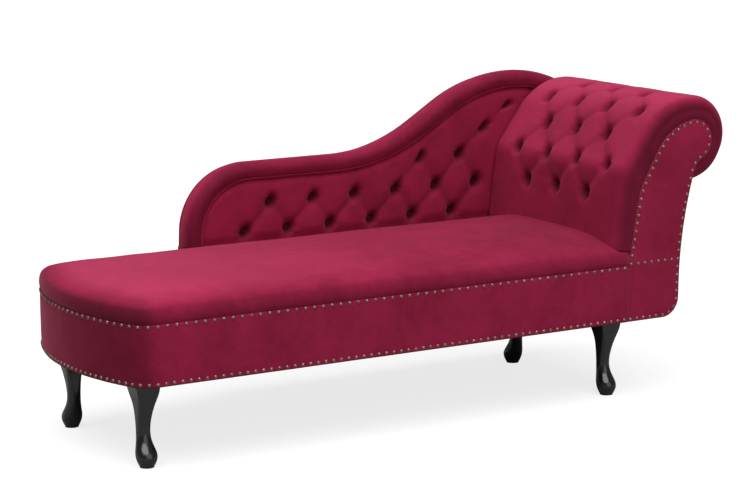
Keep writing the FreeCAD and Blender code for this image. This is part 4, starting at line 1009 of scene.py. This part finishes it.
def finish_of(slot):
    """The material of a slot, made when it is first asked for."""
    return bpy.data.materials.get(slot + "_finish") or FINISHES[slot](slot + "_finish")


# Pieces

# Seat side from the band up, as distance in from the outline and height over the band.
SEAT_PROFILE = ((0.006, -0.004), (0.002, 0.0), (-0.002, 0.010), (-0.001, 0.025), (0.005, 0.040))
SIDE_STEPS = 14
CROWN_STEPS = 14
# Heights over the band where the top's ripples and its painted light and shade begin, each with the span it
# comes in over.
TOP_RIPPLED = (0.030, 0.030)
TOP_PAINTED = (0.036, 0.028)
# Length of the foot end over which the crown falls towards the bow.
SAG_RUN = 0.16
# Height over the band where the pad's side is puckered most, and how far that reaches.
PUCKER_HEIGHT = 0.006
PUCKER_REACH = 0.030
# Where the painted shade of the bow ends, from the foot end, and the span over which it fades.
BOW_DARK_END = 0.108
BOW_DARK_FADE = 0.035

# Grids of the pieces, as steps along and across, or along alone where the section gives the other.
SEAT_GRID = 460
BAND_GRID = (620, 36)
ARM_GRID = (250, 176)
BACK_GRID = (300, 96)
BORDER_GRID = 420
BORDER_SECTION_STEPS = 40
PIPING_GRID = (420, 14)
FACING_GRID = 300
OUTSIDE_GRID = (90, 120)
BUTTON_AROUND = 36
BUTTON_SECTION_STEPS = 12
NAIL_AROUND = 12

# Ripples of the cloth: height, size and seed of each.
SEAT_TOP_WAVES = ((0.0016, 0.19, 1), (0.0006, 0.06, 2))
SEAT_SIDE_WAVES = ((0.0009, 0.02, 3),)
BAND_WAVES = ((0.0006, 0.09, 4),)
ARM_WAVES = ((0.0012, 0.11, 5), (0.0005, 0.03, 6))
BACK_WAVES = ((0.0010, 0.10, 7), (0.0005, 0.035, 8))
BORDER_WAVES = ((0.0011, 0.045, 9), (0.0005, 0.018, 10))
OUTSIDE_WAVES = ((0.0012, 0.11, 11),)


def bow_shade(x):
    """Painted shade added where the side turns round the bow."""
    return sizes("chaise_pile").bow * ramp(x, BAND_LOW.x + BOW_DARK_END, -BOW_DARK_FADE)


class CHAISE_OT_seat_pad(bpy.types.Operator):
    """Seat cushion of velvet over foam, with a soft shoulder and a low crown"""
    bl_idname = "chaise.seat_pad"
    bl_label = "Seat pad"

    def execute(self, context):
        seat, pile = sizes("chaise_seat"), sizes("chaise_pile")
        middle = (BAND_LOW.y + BAND_HIGH.y) / 2
        shares = np.linspace(0, 1, CROWN_STEPS)
        crown_in = seat.shoulder + (seat.flat - seat.shoulder) * (1 - np.sqrt(1 - shares))
        crown_up = seat.edge_height + (SEAT_HIGH.z - seat_edge()) * shares
        side = smooth_curve([*SEAT_PROFILE, (crown_in[0], crown_up[0])], SIDE_STEPS)
        insets = np.concatenate([[seat.flat, seat.underside], side[:, 0], crown_in[1:], [seat.flat]])
        heights = np.concatenate([[side[0, 1]] * 2, side[:, 1], crown_up[1:], crown_up[-1:]]) + BAND_HIGH.z
        rows = len(insets)

        def place(u, v):
            ring = nearest(v, rows - 1)
            points = np.empty((len(u), 3))
            for index in range(rows):
                here = ring == index
                line = seat_outline(insets[index], SEAT_HIGH.x)
                x, y, _ = line.at(u[here] * line.length)
                if index in (0, rows - 1):
                    y = np.full_like(y, middle)
                points[here] = np.column_stack([x, y, np.full_like(x, heights[index])])
            return points

        piece = grid_piece("seat_pad", SEAT_GRID, rows - 1, place, merge=0.0004)
        close_up(piece)
        points = vertices_of(piece)
        over_band = points[:, 2] - BAND_HIGH.z
        # on_top is the share that ripples; brushed is the share that takes the top's painted light and shade.
        on_top, brushed = ramp(over_band, *TOP_RIPPLED), ramp(over_band, *TOP_PAINTED)
        points[:, 2] += on_top * waves(points, SEAT_TOP_WAVES)
        points[:, 2] -= on_top * seat.bow_sag * ramp(points[:, 0], SEAT_LOW.x + SAG_RUN, -SAG_RUN) ** 1.5
        puckered = ramp(np.abs(points[:, 2] - BAND_HIGH.z - PUCKER_HEIGHT), PUCKER_REACH, -PUCKER_REACH)
        points[:, 1] += np.sign(points[:, 1] - middle) * puckered * waves(points, SEAT_SIDE_WAVES)
        set_vertices(piece, points)
        # Painted light on the top at the foot end, painted shade on the top by the arm and down the side.
        top_painted_light_and_shade = np.interp(points[:, 0], (SEAT_LOW.x, SEAT_HIGH.x), (pile.seat_foot, pile.seat_arm))
        side_painted_shade = pile.side + bow_shade(points[:, 0])
        paint_light_and_shade(piece, brushed * top_painted_light_and_shade + (1 - brushed) * side_painted_shade)
        hand_over(piece, "velvet", ("seat_cover", "seat_foam"))
        return {"FINISHED"}


# How far the band swells between its nail rows, how far nails pull it in and how far round them that reaches.
BAND_SWELL = 0.0013
NAIL_PULL = 0.0010
NAIL_PULL_REACH = 0.009
# Share of that pull left halfway between two nails.
PULL_BETWEEN = 0.2
# Gap between the lower edge of the band and the nails there.
BAND_NAIL_GAP = 0.002


def band_line():
    """Seat outline from the facing seam to the back's left edge, as an outline and the run on it."""
    line = seat_outline(0.0, BAND_HIGH.x)
    return line, line.length - (BAND_HIGH.x - BORDER_LOW.x)


class CHAISE_OT_seat_band(bpy.types.Operator):
    """Velvet band nailed round the seat frame"""
    bl_idname = "chaise.seat_band"
    bl_label = "Seat band"

    def execute(self, context):
        line, run = band_line()
        trim = sizes("chaise_trim")
        nail_rows = ((BAND_HIGH.z - trim.nail / 2, trim.upper_pitch),
                     (BAND_LOW.z + BAND_NAIL_GAP + trim.nail / 2, trim.lower_pitch))

        def place(u, v):
            x, y, way = line.at(u * run)
            height = BAND_LOW.z + v * (BAND_HIGH.z - BAND_LOW.z)
            points = np.column_stack([x, y, height])
            swell = BAND_SWELL * np.sin(math.pi * v) ** 0.6 + waves(points, BAND_WAVES)
            for row, pitch in nail_rows:
                at_nail = (1 + np.cos(2 * math.pi * u * run / pitch)) / 2
                near = np.exp(-((height - row) / NAIL_PULL_REACH) ** 2)
                swell -= NAIL_PULL * near * (PULL_BETWEEN + (1 - PULL_BETWEEN) * at_nail)
            return points + np.column_stack([-np.sin(way), np.cos(way), np.zeros_like(x)]) * swell[:, None]

        # Painted shade where the band turns round the bow.
        def tone(u, v):
            return bow_shade(line.at(u * run)[0])

        piece = grid_piece("seat_band", *BAND_GRID, place, tone=tone)
        in_edit_mode(piece, lambda: bpy.ops.mesh.normals_make_consistent(inside=False))
        give_thickness(piece)
        hand_over(piece, "velvet", ("seat_side_band",))
        return {"FINISHED"}


# Marks along the facing outline that its places are looked up from: its depth, the outside and the nails.
DEPTH_MARKS = 500
OUTSIDE_MARKS = 600
NAIL_MARKS = 2000
# Nearest and farthest that the edge of the facing lies in from the pad line.
FACING_SEARCH = (0.01, 0.11)
# Front of the arm pad: how far it runs under the facing, lies behind it and swells.
UNDER_FACING = 0.004
BEHIND_FACING = 0.0012
FACE_SWELL = 0.0022
# Largest share of that front which its round edge takes.
EDGE_SHARE = 0.75
# Rear edge of the arm pad: how far it goes down and in under the back.
TUCK_DROP = 0.015
TUCK_IN = 0.002
# Extra padding of the roll: where it begins before the line's end, by the roll's radius, and over what run.
FULL_START = 2.9
FULL_RUN = 0.2
FACE_STEPS, EDGE_STEPS, TUCK_STEPS = 8, 12, 8


def facing_depth(x, z, way):
    """Inward distance from points of the arm outline to the edge of the facing."""
    line = facing_outline()
    margin = sizes("chaise_facing").margin
    edge_x, edge_z, _ = line.beside(np.linspace(0, line.length, DEPTH_MARKS), margin)
    depth = np.full(len(x), np.nan)
    for index in range(len(x)):
        inward = np.array([math.sin(way[index]), -math.cos(way[index])])
        across = np.array([inward[1], -inward[0]])
        side = (edge_x - x[index]) * across[0] + (edge_z - z[index]) * across[1]
        deep = (edge_x - x[index]) * inward[0] + (edge_z - z[index]) * inward[1]
        crossing = np.nonzero(side[:-1] * side[1:] <= 0)[0]
        found = [deep[k] for k in crossing if FACING_SEARCH[0] < deep[k] < FACING_SEARCH[1]]
        if found:
            depth[index] = min(found)
    known = np.nonzero(~np.isnan(depth))[0]
    return np.interp(np.arange(len(x)), known, depth[known])


class CHAISE_OT_arm_pad(bpy.types.Operator):
    """Buttoned pad of the rolled arm, from the seat over the roll and in under it"""
    bl_idname = "chaise.arm_pad"
    bl_label = "Arm pad"

    def execute(self, context):
        arm, pile = sizes("chaise_arm"), sizes("chaise_pile")
        line = arm_outline()
        along, across = ARM_GRID
        main_steps = across - FACE_STEPS - EDGE_STEPS - TUCK_STEPS
        marks = np.linspace(0, line.length, along + 1)
        x, z, way = line.at(marks)

        def cross_path(depth):
            """Drop under the pad line, Y and share of the buttoning, from the facing to the back."""
            radius = min(arm.edge, EDGE_SHARE * depth)
            turn = np.linspace(0, math.pi / 2, EDGE_STEPS, endpoint=False)
            bottom = np.linspace(depth, radius, FACE_STEPS, endpoint=False)
            swell = FACE_SWELL * np.sin(math.pi * (depth - bottom) / (depth - radius + 1e-6)) ** 2
            main = np.linspace(ARM_FRONT + radius, ARM_REAR - arm.tuck, main_steps, endpoint=False)
            back_turn = np.linspace(0, math.pi / 2, TUCK_STEPS)
            drop = np.concatenate([bottom, radius * (1 - np.sin(turn)), np.zeros(main_steps),
                                   arm.tuck * (1 - np.cos(back_turn)), [arm.tuck + TUCK_DROP]])
            y = np.concatenate([ARM_FRONT + BEHIND_FACING - swell, ARM_FRONT + radius * (1 - np.cos(turn)),
                                main, ARM_REAR - arm.tuck * (1 - np.sin(back_turn)), [ARM_REAR + TUCK_IN]])
            buttoned = np.concatenate([np.zeros(FACE_STEPS), np.sin(turn) ** 2, np.ones(main_steps),
                                       np.cos(back_turn), [0.0]])
            return drop, y, buttoned

        paths = [cross_path(depth) for depth in facing_depth(x, z, way) + UNDER_FACING]
        drop, y, buttoned = (np.array([path[k] for path in paths]) for k in range(3))
        gone = np.repeat(marks[:, None], across + 1, axis=1)
        # dark is the painted shade of the pits and folds.
        height, dark = (values.reshape(y.shape) for values in arm_surface(gone.ravel(), y.ravel()))
        past_top = ramp(marks, line.length - FULL_START * arm.roll, FULL_RUN)
        full = arm.fullness * np.sin(math.pi * past_top)
        lift = height * buttoned ** 0.5 - drop + full[:, None]
        spots = np.dstack([x[:, None] - np.sin(way)[:, None] * lift, y,
                           z[:, None] + np.cos(way)[:, None] * lift])
        # Painted light on top of the roll, painted shade in the pits and folds and on the front edge of the
        # pad.
        painted_roll_light = pile.arm_roll * np.clip(np.cos(way), 0, 1)[:, None] ** 2
        painted_tones = (dark - painted_roll_light) * buttoned + pile.arm_front * (1 - buttoned) * (y < 0)

        def cell(u, v):
            return nearest(u, along), nearest(v, across)

        piece = grid_piece("arm_pad", along, across, lambda u, v: spots[cell(u, v)],
                           tone=lambda u, v: painted_tones[cell(u, v)])
        points = vertices_of(piece)
        points[:, 2] += waves(points, ARM_WAVES)
        set_vertices(piece, points)
        hand_over_cloth(piece, (0.70, 0.0, 0.55), ("arm_cover", "arm_foam"))
        return {"FINISHED"}


# Edge of the buttoned back: how far round it the pad sinks, how deep, and the share of that along the seat.
SINK_REACH = 0.016
SINK_DEPTH = 0.007
SEAT_SINK = 0.8
# How far the buttoned back runs on behind the arm and under the seat line.
BEHIND_ARM = 0.004
UNDER_SEAT = 0.006
CREST_MARKS = 800


def piping_height(x):
    """Height of the piping line over the back at places along X."""
    back = sizes("chaise_back")
    line = crest_outline()
    edge_x, edge_z, _ = line.beside(np.linspace(0, line.length, CREST_MARKS), -back.border)
    return np.interp(x, edge_x, edge_z)


class CHAISE_OT_back_pad(bpy.types.Operator):
    """Buttoned panel of the back inside its piping"""
    bl_idname = "chaise.back_pad"
    bl_label = "Back pad"

    def execute(self, context):
        back = sizes("chaise_back")
        left = BORDER_LOW.x + back.border
        right = PANEL_RIGHT + BEHIND_ARM
        plane = BORDER_LOW.y + back.recess
        bottom = seat_edge() - UNDER_SEAT

        def spot(u, v):
            x = left + u * (right - left)
            return x, bottom + v * (piping_height(x) - bottom)

        def place(u, v):
            x, z = spot(u, v)
            from_edge = np.minimum(piping_height(x) - z, x - left) / SINK_REACH
            from_seat = (z - seat_edge()) / SINK_REACH
            sink = (np.exp(-np.clip(from_edge, 0, None) ** 2)
                    + SEAT_SINK * np.exp(-np.clip(from_seat, 0, None) ** 2))
            points = np.column_stack([x, plane - back_surface(x, z)[0] + SINK_DEPTH * sink, z])
            points[:, 1] += waves(points, BACK_WAVES)
            return points

        # The tone is painted shade in the button pits and along the folds.
        piece = grid_piece("back_pad", *BACK_GRID, place, tone=lambda u, v: back_surface(*spot(u, v))[1])
        hand_over_cloth(piece, (0.1, 1.0, 0.6), ("back_cover", "back_foam"))
        return {"FINISHED"}


# Front part of the border that ripples, its part with the painted shade, and where along X that painted shade
# changes.
BORDER_RIPPLED = 0.030
BORDER_PAINTED_SHADE = (0.022, 0.016)
BORDER_CHANGE = (0.05, 0.25)


def border_section():
    """Inward distance from the crest and Y of the padded border, from the piping over the top to the rear."""
    front, rear = BORDER_LOW.y, BORDER_HIGH.y
    knots = [(0.039, front + 0.010), (0.040, front + 0.002), (0.034, front - 0.0015), (0.021, front - 0.0035),
             (0.010, front + 0.0005), (0.004, front + 0.008), (0.0005, front + 0.018), (0.0, front + 0.030),
             (0.002, front + 0.046), (0.006, front + 0.058), (0.012, rear - 0.003), (0.020, rear - 0.0005)]
    return smooth_curve(knots, BORDER_SECTION_STEPS)


class CHAISE_OT_back_border(bpy.types.Operator):
    """Plain padded border along the crest of the back"""
    bl_idname = "chaise.back_border"
    bl_label = "Back border"

    def execute(self, context):
        line = crest_outline()
        section = border_section()
        pile = sizes("chaise_pile")

        def place(u, v):
            inward, y = section[nearest(v, len(section) - 1)].T
            x, z, way = line.at(u * line.length)
            points = np.column_stack([x + inward * np.sin(way), y, z - inward * np.cos(way)])
            in_front = ramp(y, BORDER_LOW.y + BORDER_RIPPLED, -BORDER_RIPPLED)
            points[:, 1] += in_front * waves(points, BORDER_WAVES)
            return points

        piece = grid_piece("back_border", BORDER_GRID, len(section) - 1, place)
        x, y, _ = vertices_of(piece).T
        # Painted shade on the front face of the border, deeper at its left end.
        front_shade_share = ramp(y, BORDER_LOW.y + BORDER_PAINTED_SHADE[0], -BORDER_PAINTED_SHADE[1])
        change = [BORDER_LOW.x + distance for distance in BORDER_CHANGE]
        paint_light_and_shade(piece, front_shade_share * np.interp(x, change, (pile.border_left, pile.border_right)))
        hand_over_cloth(piece, (0.1, 0.29, 0.45), ("back_border_cover", "back_border_roll"))
        return {"FINISHED"}


# Centre of the piping behind the front of the border.
PIPING_SET = 0.0045


class CHAISE_OT_back_piping(bpy.types.Operator):
    """Round piping between the buttoned panel and the border"""
    bl_idname = "chaise.back_piping"
    bl_label = "Back piping"

    def execute(self, context):
        back = sizes("chaise_back")
        line = crest_outline()
        radius = back.piping / 2

        def place(u, v):
            x, z, way = line.beside(u * line.length, -back.border)
            turn = v * 2 * math.pi
            out = radius * np.cos(turn)
            y = BORDER_LOW.y + PIPING_SET + radius * np.sin(turn)
            return np.column_stack([x - out * np.sin(way), y, z + out * np.cos(way)])

        piece = grid_piece("back_piping", *PIPING_GRID, place, merge=0.00005)
        close_up(piece)
        hand_over(piece, "velvet", ("back_piping",))
        return {"FINISHED"}


# Inset from the facing edge and distance in front of the pad, ring by ring.
FACING_RINGS = ((0.0, 0.0), (0.0, 0.0012), (0.0012, 0.0022), (0.007, 0.0016), (0.013, 0.0030),
                (0.020, 0.0036))


class CHAISE_OT_arm_facing(bpy.types.Operator):
    """Flat padded facing on the front of the arm, scroll to seat base"""
    bl_idname = "chaise.arm_facing"
    bl_label = "Arm facing"

    def execute(self, context):
        margin = sizes("chaise_facing").margin
        line = facing_outline()
        count = FACING_GRID
        marks = np.linspace(0, line.length, count)
        points = []
        for inset, proud in FACING_RINGS:
            x, z, _ = line.beside(marks, margin - inset)
            z[0] = BAND_LOW.z + inset
            z = np.maximum(z, BAND_LOW.z + inset)
            x = np.maximum(x, FACING_LOW.x + inset)
            points += [(a, ARM_FRONT - proud, b) for a, b in zip(x, z)]
        faces = [tuple(range(count - 1, -1, -1))]
        for here in range(0, len(points) - count, count):
            for k in range(count):
                following = (k + 1) % count
                faces.append((here + k, here + following, here + count + following, here + count + k))
        faces.append(tuple(range(len(points) - count, len(points))))
        piece = mesh_piece("arm_facing", points, faces)
        in_edit_mode(piece, lambda: bpy.ops.mesh.remove_doubles(threshold=0.00005),
                     lambda: bpy.ops.mesh.normals_make_consistent(inside=False))
        hand_over(piece, "velvet", ("arm_front_facing",), smooth=40)
        return {"FINISHED"}


class CHAISE_OT_arm_outside(bpy.types.Operator):
    """Plain velvet on the outside of the arm, from under the roll to the base"""
    bl_idname = "chaise.arm_outside"
    bl_label = "Arm outside"

    def execute(self, context):
        line = facing_outline()
        # Painted shade over the whole outside panel.
        shade = sizes("chaise_pile").outside
        low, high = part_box("arm_outer_cover")
        marks = np.linspace(line.length / 2, line.length, OUTSIDE_MARKS)
        start = marks[np.argmin(np.abs(line.at(marks)[1] - high.z))]

        def place(u, v):
            x, z, way = line.beside(start + u * (line.length - start), sizes("chaise_facing").margin)
            points = np.column_stack([x, low.y + v * (high.y - low.y), z])
            pull = waves(points, OUTSIDE_WAVES)
            return points + np.column_stack([-np.sin(way) * pull, np.zeros_like(x), np.cos(way) * pull])

        piece = grid_piece("arm_outside_panel", *OUTSIDE_GRID, place, tone=lambda u, v: shade)
        hand_over_cloth(piece, (0.60, 0.0, 0.45), ("arm_outer_cover",))
        return {"FINISHED"}


# Panels that stay flat: own name, CAD nodes they stand for, edge rounding and distance in from the crest.
PLAIN_COVERS = (
    ("back_outside_panel", ("back_outer_cover",), 0.0030, 0.010),
    ("back_end_panel", ("back_side_cover",), 0.0030, 0.0),
    ("arm_end_panel", ("arm_end_cover", "arm_end_roll"), 0.0040, 0.0),
)


def draw_in(piece, inset):
    """Move the upper edge of a panel behind the back in from the crest."""
    line = crest_outline()
    edge_x, edge_z, way = line.at(np.linspace(0, line.length, CREST_MARKS))
    points = vertices_of(piece)
    for index, (x, _, z) in enumerate(points):
        away = np.hypot(edge_x - x, edge_z - z)
        near = int(np.argmin(away))
        pull = max(inset - away[near], 0.0)
        points[index, 0] += pull * math.sin(way[near])
        points[index, 2] -= pull * math.cos(way[near])
    set_vertices(piece, points)


class CHAISE_OT_plain_covers(bpy.types.Operator):
    """Plain velvet panels behind the back and at the rear end of the arm"""
    bl_idname = "chaise.plain_covers"
    bl_label = "Plain covers"

    def execute(self, context):
        for name, nodes, edge, inset in PLAIN_COVERS:
            piece = dressed_copy(nodes[0], name, edge)
            if inset:
                draw_in(piece, inset)
            hand_over(piece, "velvet", nodes, smooth=35)
        return {"FINISHED"}


# Sections from the top to the rim, in shares of the radius and of the height.
BUTTON_SECTION = ((0.0, 1.0), (0.30, 0.96), (0.62, 0.78), (0.88, 0.45), (1.0, 0.10), (0.93, -0.20),
                  (0.60, -0.45))
NAIL_SECTION = ((0.0, 1.0), (0.45, 0.90), (0.78, 0.58), (0.94, 0.20), (1.0, 0.0))
# Pleats round a covered button and their depth as a share of its radius.
RIM_PLEATS = 9
RIM_PLEAT_DEPTH = 0.025
# Radius at which a button rests on the pad, as a share of its diameter, and the turn from one to the next.
BUTTON_REST = 0.30
BUTTON_TURN = 1.7


def domed_model(name, section, radius, dome, around, pleats=0.0, tone=None):
    """A small model turned about Z from a section, with its rim pleated where asked."""
    out, up = np.asarray(section).T

    def place(u, v):
        row = nearest(v, len(section) - 1)
        turn = u * 2 * math.pi
        far = out[row] * radius * (1 + pleats * np.cos(RIM_PLEATS * turn) * np.clip(out[row], 0, 1) ** 3)
        return np.column_stack([far * np.cos(turn), far * np.sin(turn), up[row] * dome])

    piece = grid_piece(name, around, len(section) - 1, place, merge=0.00002, tone=tone)
    close_up(piece)
    return piece


def set_buttons(name, node, spots):
    """Covered buttons as one piece, from the place and outward direction of each."""
    tuft = sizes("chaise_tufting")
    # Painted shade over the covered buttons.
    shade = sizes("chaise_pile").button
    section = smooth_curve(BUTTON_SECTION, BUTTON_SECTION_STEPS)
    model = domed_model(node + "_model", section, tuft.button / 2, tuft.dome, BUTTON_AROUND, RIM_PLEAT_DEPTH,
                        lambda u, v: shade)
    places = [standing_on(spot, normal, BUTTON_TURN * index) for index, (spot, normal) in enumerate(spots)]
    hand_over(many_copies(name, model, places), "velvet", (node,))


def rim_height(surface, first, second):
    """Mean height of a buttoned surface round a button."""
    reach = BUTTON_REST * sizes("chaise_tufting").button
    turns = np.linspace(0, 2 * math.pi, 12, endpoint=False)
    return float(np.mean(surface(first + reach * np.cos(turns), second + reach * np.sin(turns))[0]))


class CHAISE_OT_buttons(bpy.types.Operator):
    """Velvet covered buttons, drawn down into the pads"""
    bl_idname = "chaise.buttons"
    bl_label = "Buttons"

    def execute(self, context):
        plane = BORDER_LOW.y + sizes("chaise_back").recess
        spots = []
        for button in BACK_BUTTONS:
            x, z = back_place(*button)
            spots.append(((x, plane - rim_height(back_surface, x, z), z), (0.0, -1.0, 0.0)))
        set_buttons("buttons_of_back", "back_buttons", spots)
        line = arm_outline()
        spots = []
        for button in ARM_BUTTONS:
            gone, y = arm_place(*button)
            x, z, way = (float(value[0]) for value in line.beside(gone, rim_height(arm_surface, gone, y)))
            spots.append(((x, y, z), (-math.sin(way), 0.0, math.cos(way))))
        set_buttons("buttons_of_arm", "arm_buttons", spots)
        return {"FINISHED"}


# Start of the band's nail rows from the seams, and how far the nails of the facing stand before the pad.
ROW_MARGIN = 0.010
EDGE_NAILS_PROUD = 0.0016
ROW_NAILS_PROUD = 0.0030


def spaced(run, pitch):
    """Places along a run, as near a pitch apart as fills it evenly."""
    return np.linspace(0, run, max(2, round(run / pitch) + 1))


def drive_nails(name, node, spots):
    """Nail heads as one piece, from the place and outward direction of each."""
    trim = sizes("chaise_trim")
    model = domed_model(node + "_model", NAIL_SECTION, trim.nail / 2, trim.dome, NAIL_AROUND)
    places = [standing_on(spot, normal) for spot, normal in spots]
    hand_over(many_copies(name, model, places), "antique_brass", (node,), smooth=50)


def drive_facing_nails(name, node, places, proud):
    """Nail heads on the front of the arm, from the X and Z of each."""
    drive_nails(name, node, [((x, ARM_FRONT - proud, z), (0.0, -1.0, 0.0)) for x, z in places])


class CHAISE_OT_nails(bpy.types.Operator):
    """Rows of antique brass nails on the band and round the facing"""
    bl_idname = "chaise.nails"
    bl_label = "Nails"

    def execute(self, context):
        trim = sizes("chaise_trim")
        upper_height = BAND_HIGH.z - trim.nail / 2
        line, run = band_line()
        for name, node, height, pitch in (
                ("upper_nails", "upper_band_nails", upper_height, trim.upper_pitch),
                ("lower_nails", "lower_band_nails", lowest_nails(), trim.lower_pitch)):
            x, y, way = line.at(ROW_MARGIN + spaced(run - 2 * ROW_MARGIN, pitch))
            drive_nails(name, node, [((a, b, height), (-math.sin(turn), math.cos(turn), 0.0))
                                     for a, b, turn in zip(x, y, way)])
        face = facing_outline()
        row_height = upper_height + sizes("chaise_facing").row_rise
        marks = np.linspace(0, face.length, NAIL_MARKS)
        line_x, line_z, _ = face.at(marks)
        start = marks[np.argmax(line_z > row_height)]
        x, z, _ = face.at(start + spaced(face.length - start, trim.lower_pitch))
        under = line_x[-1] - spaced(line_x[-1] - FACING_LOW.x - trim.nail, trim.lower_pitch)[1:]
        drive_facing_nails("facing_edge_nails", "facing_outline_nails",
                           [*zip(x, z), *((place, lowest_nails()) for place in under)], EDGE_NAILS_PROUD)
        outer = marks > face.length / 2
        right = line_x[outer][np.argmin(np.abs(line_z[outer] - row_height))]
        inner = x[0] + spaced(right - x[0], trim.lower_pitch)[1:-1]
        drive_facing_nails("facing_row_of_nails", "facing_row_nails",
                           [(place, row_height) for place in inner], ROW_NAILS_PROUD)
        return {"FINISHED"}


LEGS = ("front_foot_leg", "front_head_leg", "back_foot_leg", "back_head_leg")
LEG_EDGE = 0.0008


class CHAISE_OT_legs(bpy.types.Operator):
    """Turned-out cabriole legs in black lacquer"""
    bl_idname = "chaise.legs"
    bl_label = "Legs"

    def execute(self, context):
        for node in LEGS:
            piece = dressed_copy(node, node + "_lacquered", LEG_EDGE)
            hand_over(piece, "black_lacquer", (node,), smooth=40)
        return {"FINISHED"}


class CHAISE_OT_frame_finishes(bpy.types.Operator):
    """Procedural finishes of the pieces carried over from the frame"""
    bl_idname = "chaise.frame_finishes"
    bl_label = "Frame finishes"

    def execute(self, context):
        slots = {part["node"]: part["material_slot"] for part in frame["record"]["subparts"]}
        for name, piece in frame["nodes"].items():
            piece.data.materials.clear()
            piece.data.materials.append(finish_of(slots[name]))
        return {"FINISHED"}


# Stage

WHITE = (1.0, 1.0, 1.0)
FLOOR_SIDE = 120.0
FAR_CLIP = 200.0
SENSOR_WIDTH = 36.0


def lay_floor(studio):
    """A pale floor that glows for the camera alone, so that it is white but keeps the shadow."""
    deselect()
    bpy.ops.mesh.primitive_plane_add(size=FLOOR_SIDE)
    floor = bpy.context.object
    floor.name = "studio_floor"
    finish = Finish("studio_floor_finish")
    seen = finish.node("ShaderNodeLightPath", output="Is Camera Ray")
    diffuse = finish.node("ShaderNodeBsdfDiffuse", None, {"Color": (studio.floor_shade,) * 3})
    glow = finish.node("ShaderNodeEmission", None, {"Color": WHITE, "Strength": seen * studio.floor_glow})
    both = finish.node("ShaderNodeAddShader", None, {0: diffuse, 1: glow})
    finish.join(both, finish.tree.nodes["Material Output"].inputs["Surface"])
    finish.tree.nodes.remove(finish.shader)
    floor.data.materials.append(finish.material)
    return floor


def hang_light(name, strength, spread, rotation):
    """A distant light with a soft edge."""
    deselect()
    bpy.ops.object.light_add(type="SUN", rotation=rotation)
    light = bpy.context.object
    light.name = name
    light.data.energy = strength
    light.data.angle = spread


def light_world(studio):
    """Even light from all round, seen as white by the camera."""
    world = bpy.data.worlds.new("white_studio")
    bpy.context.scene.world = world
    world.use_nodes = True
    nodes = Nodes(world.node_tree)
    seen = nodes.node("ShaderNodeLightPath", output="Is Camera Ray")
    level = nodes.node("ShaderNodeMix", {"data_type": "FLOAT"}, {0: seen, 2: studio.ambient, 3: 1.0})
    background = world.node_tree.nodes["Background"]
    nodes.join(level, background.inputs["Strength"])
    nodes.join(WHITE, background.inputs["Color"])


def place_camera(studio):
    """The camera of the picture, at a distance and direction from the point it looks at."""
    azimuth, elevation = studio.azimuth, studio.elevation
    back = Vector((math.sin(azimuth) * math.cos(elevation), -math.cos(azimuth) * math.cos(elevation),
                   math.sin(elevation)))
    deselect()
    bpy.ops.object.camera_add(location=Vector(studio.aim) + studio.distance * back)
    camera = bpy.context.object
    camera.name = "photo_camera"
    turn = Matrix.Rotation(azimuth, 4, "Z") @ Matrix.Rotation(math.pi / 2 - elevation, 4, "X")
    camera.rotation_euler = (turn @ Matrix.Rotation(studio.roll, 4, "Z")).to_euler()
    camera.data.sensor_width = SENSOR_WIDTH
    camera.data.lens = studio.lens
    camera.data.clip_end = FAR_CLIP
    bpy.context.scene.camera = camera


class CHAISE_OT_studio(bpy.types.Operator):
    """Pale floor, soft light from above and the camera"""
    bl_idname = "chaise.studio"
    bl_label = "Studio"

    def execute(self, context):
        studio = sizes("chaise_studio")
        floor = lay_floor(studio)
        hang_light("overhead_light", studio.sun, studio.sun_spread, (studio.sun_tilt, studio.sun_lean, 0.0))
        hang_light("front_light", studio.fill, studio.fill_spread, (studio.fill_tilt, 0.0, studio.fill_turn))
        light_world(studio)
        place_camera(studio)
        context.scene.view_settings.view_transform = "Standard"
        return {"FINISHED"}


STEPS = (CHAISE_OT_frame_finishes, CHAISE_OT_seat_pad, CHAISE_OT_seat_band, CHAISE_OT_arm_pad,
         CHAISE_OT_back_pad, CHAISE_OT_back_border, CHAISE_OT_back_piping, CHAISE_OT_arm_facing,
         CHAISE_OT_arm_outside, CHAISE_OT_plain_covers, CHAISE_OT_buttons, CHAISE_OT_nails, CHAISE_OT_legs,
         CHAISE_OT_studio)


class CHAISE_PT_panel(bpy.types.Panel):
    """Sizes and build steps of the chaise longue"""
    bl_idname = "CHAISE_PT_panel"
    bl_label = "Buttoned chaise longue"
    bl_space_type = "VIEW_3D"
    bl_region_type = "UI"
    bl_category = "Chaise"

    def draw(self, context):
        for group_name, group in GROUPS.items():
            box = self.layout.box()
            box.label(text=group.__doc__)
            for setting in group.__annotations__:
                box.prop(getattr(context.scene, group_name), setting)
        for step in STEPS:
            self.layout.operator(step.bl_idname)


CLASSES = (*GROUPS.values(), *STEPS, CHAISE_PT_panel)


def register():
    """Make the property groups, operators and panel known."""
    for item in CLASSES:
        bpy.utils.register_class(item)
    for name, group in GROUPS.items():
        setattr(bpy.types.Scene, name, bpy.props.PointerProperty(type=group))


def unregister():
    """Take them away again."""
    for name in GROUPS:
        delattr(bpy.types.Scene, name)
    for item in reversed(CLASSES):
        bpy.utils.unregister_class(item)


def main():
    """Build the whole chaise longue."""
    register()
    for step in STEPS:
        group, name = step.bl_idname.split(".")
        getattr(getattr(bpy.ops, group), name)()
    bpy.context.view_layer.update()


if __name__ == "__main__":
    main()
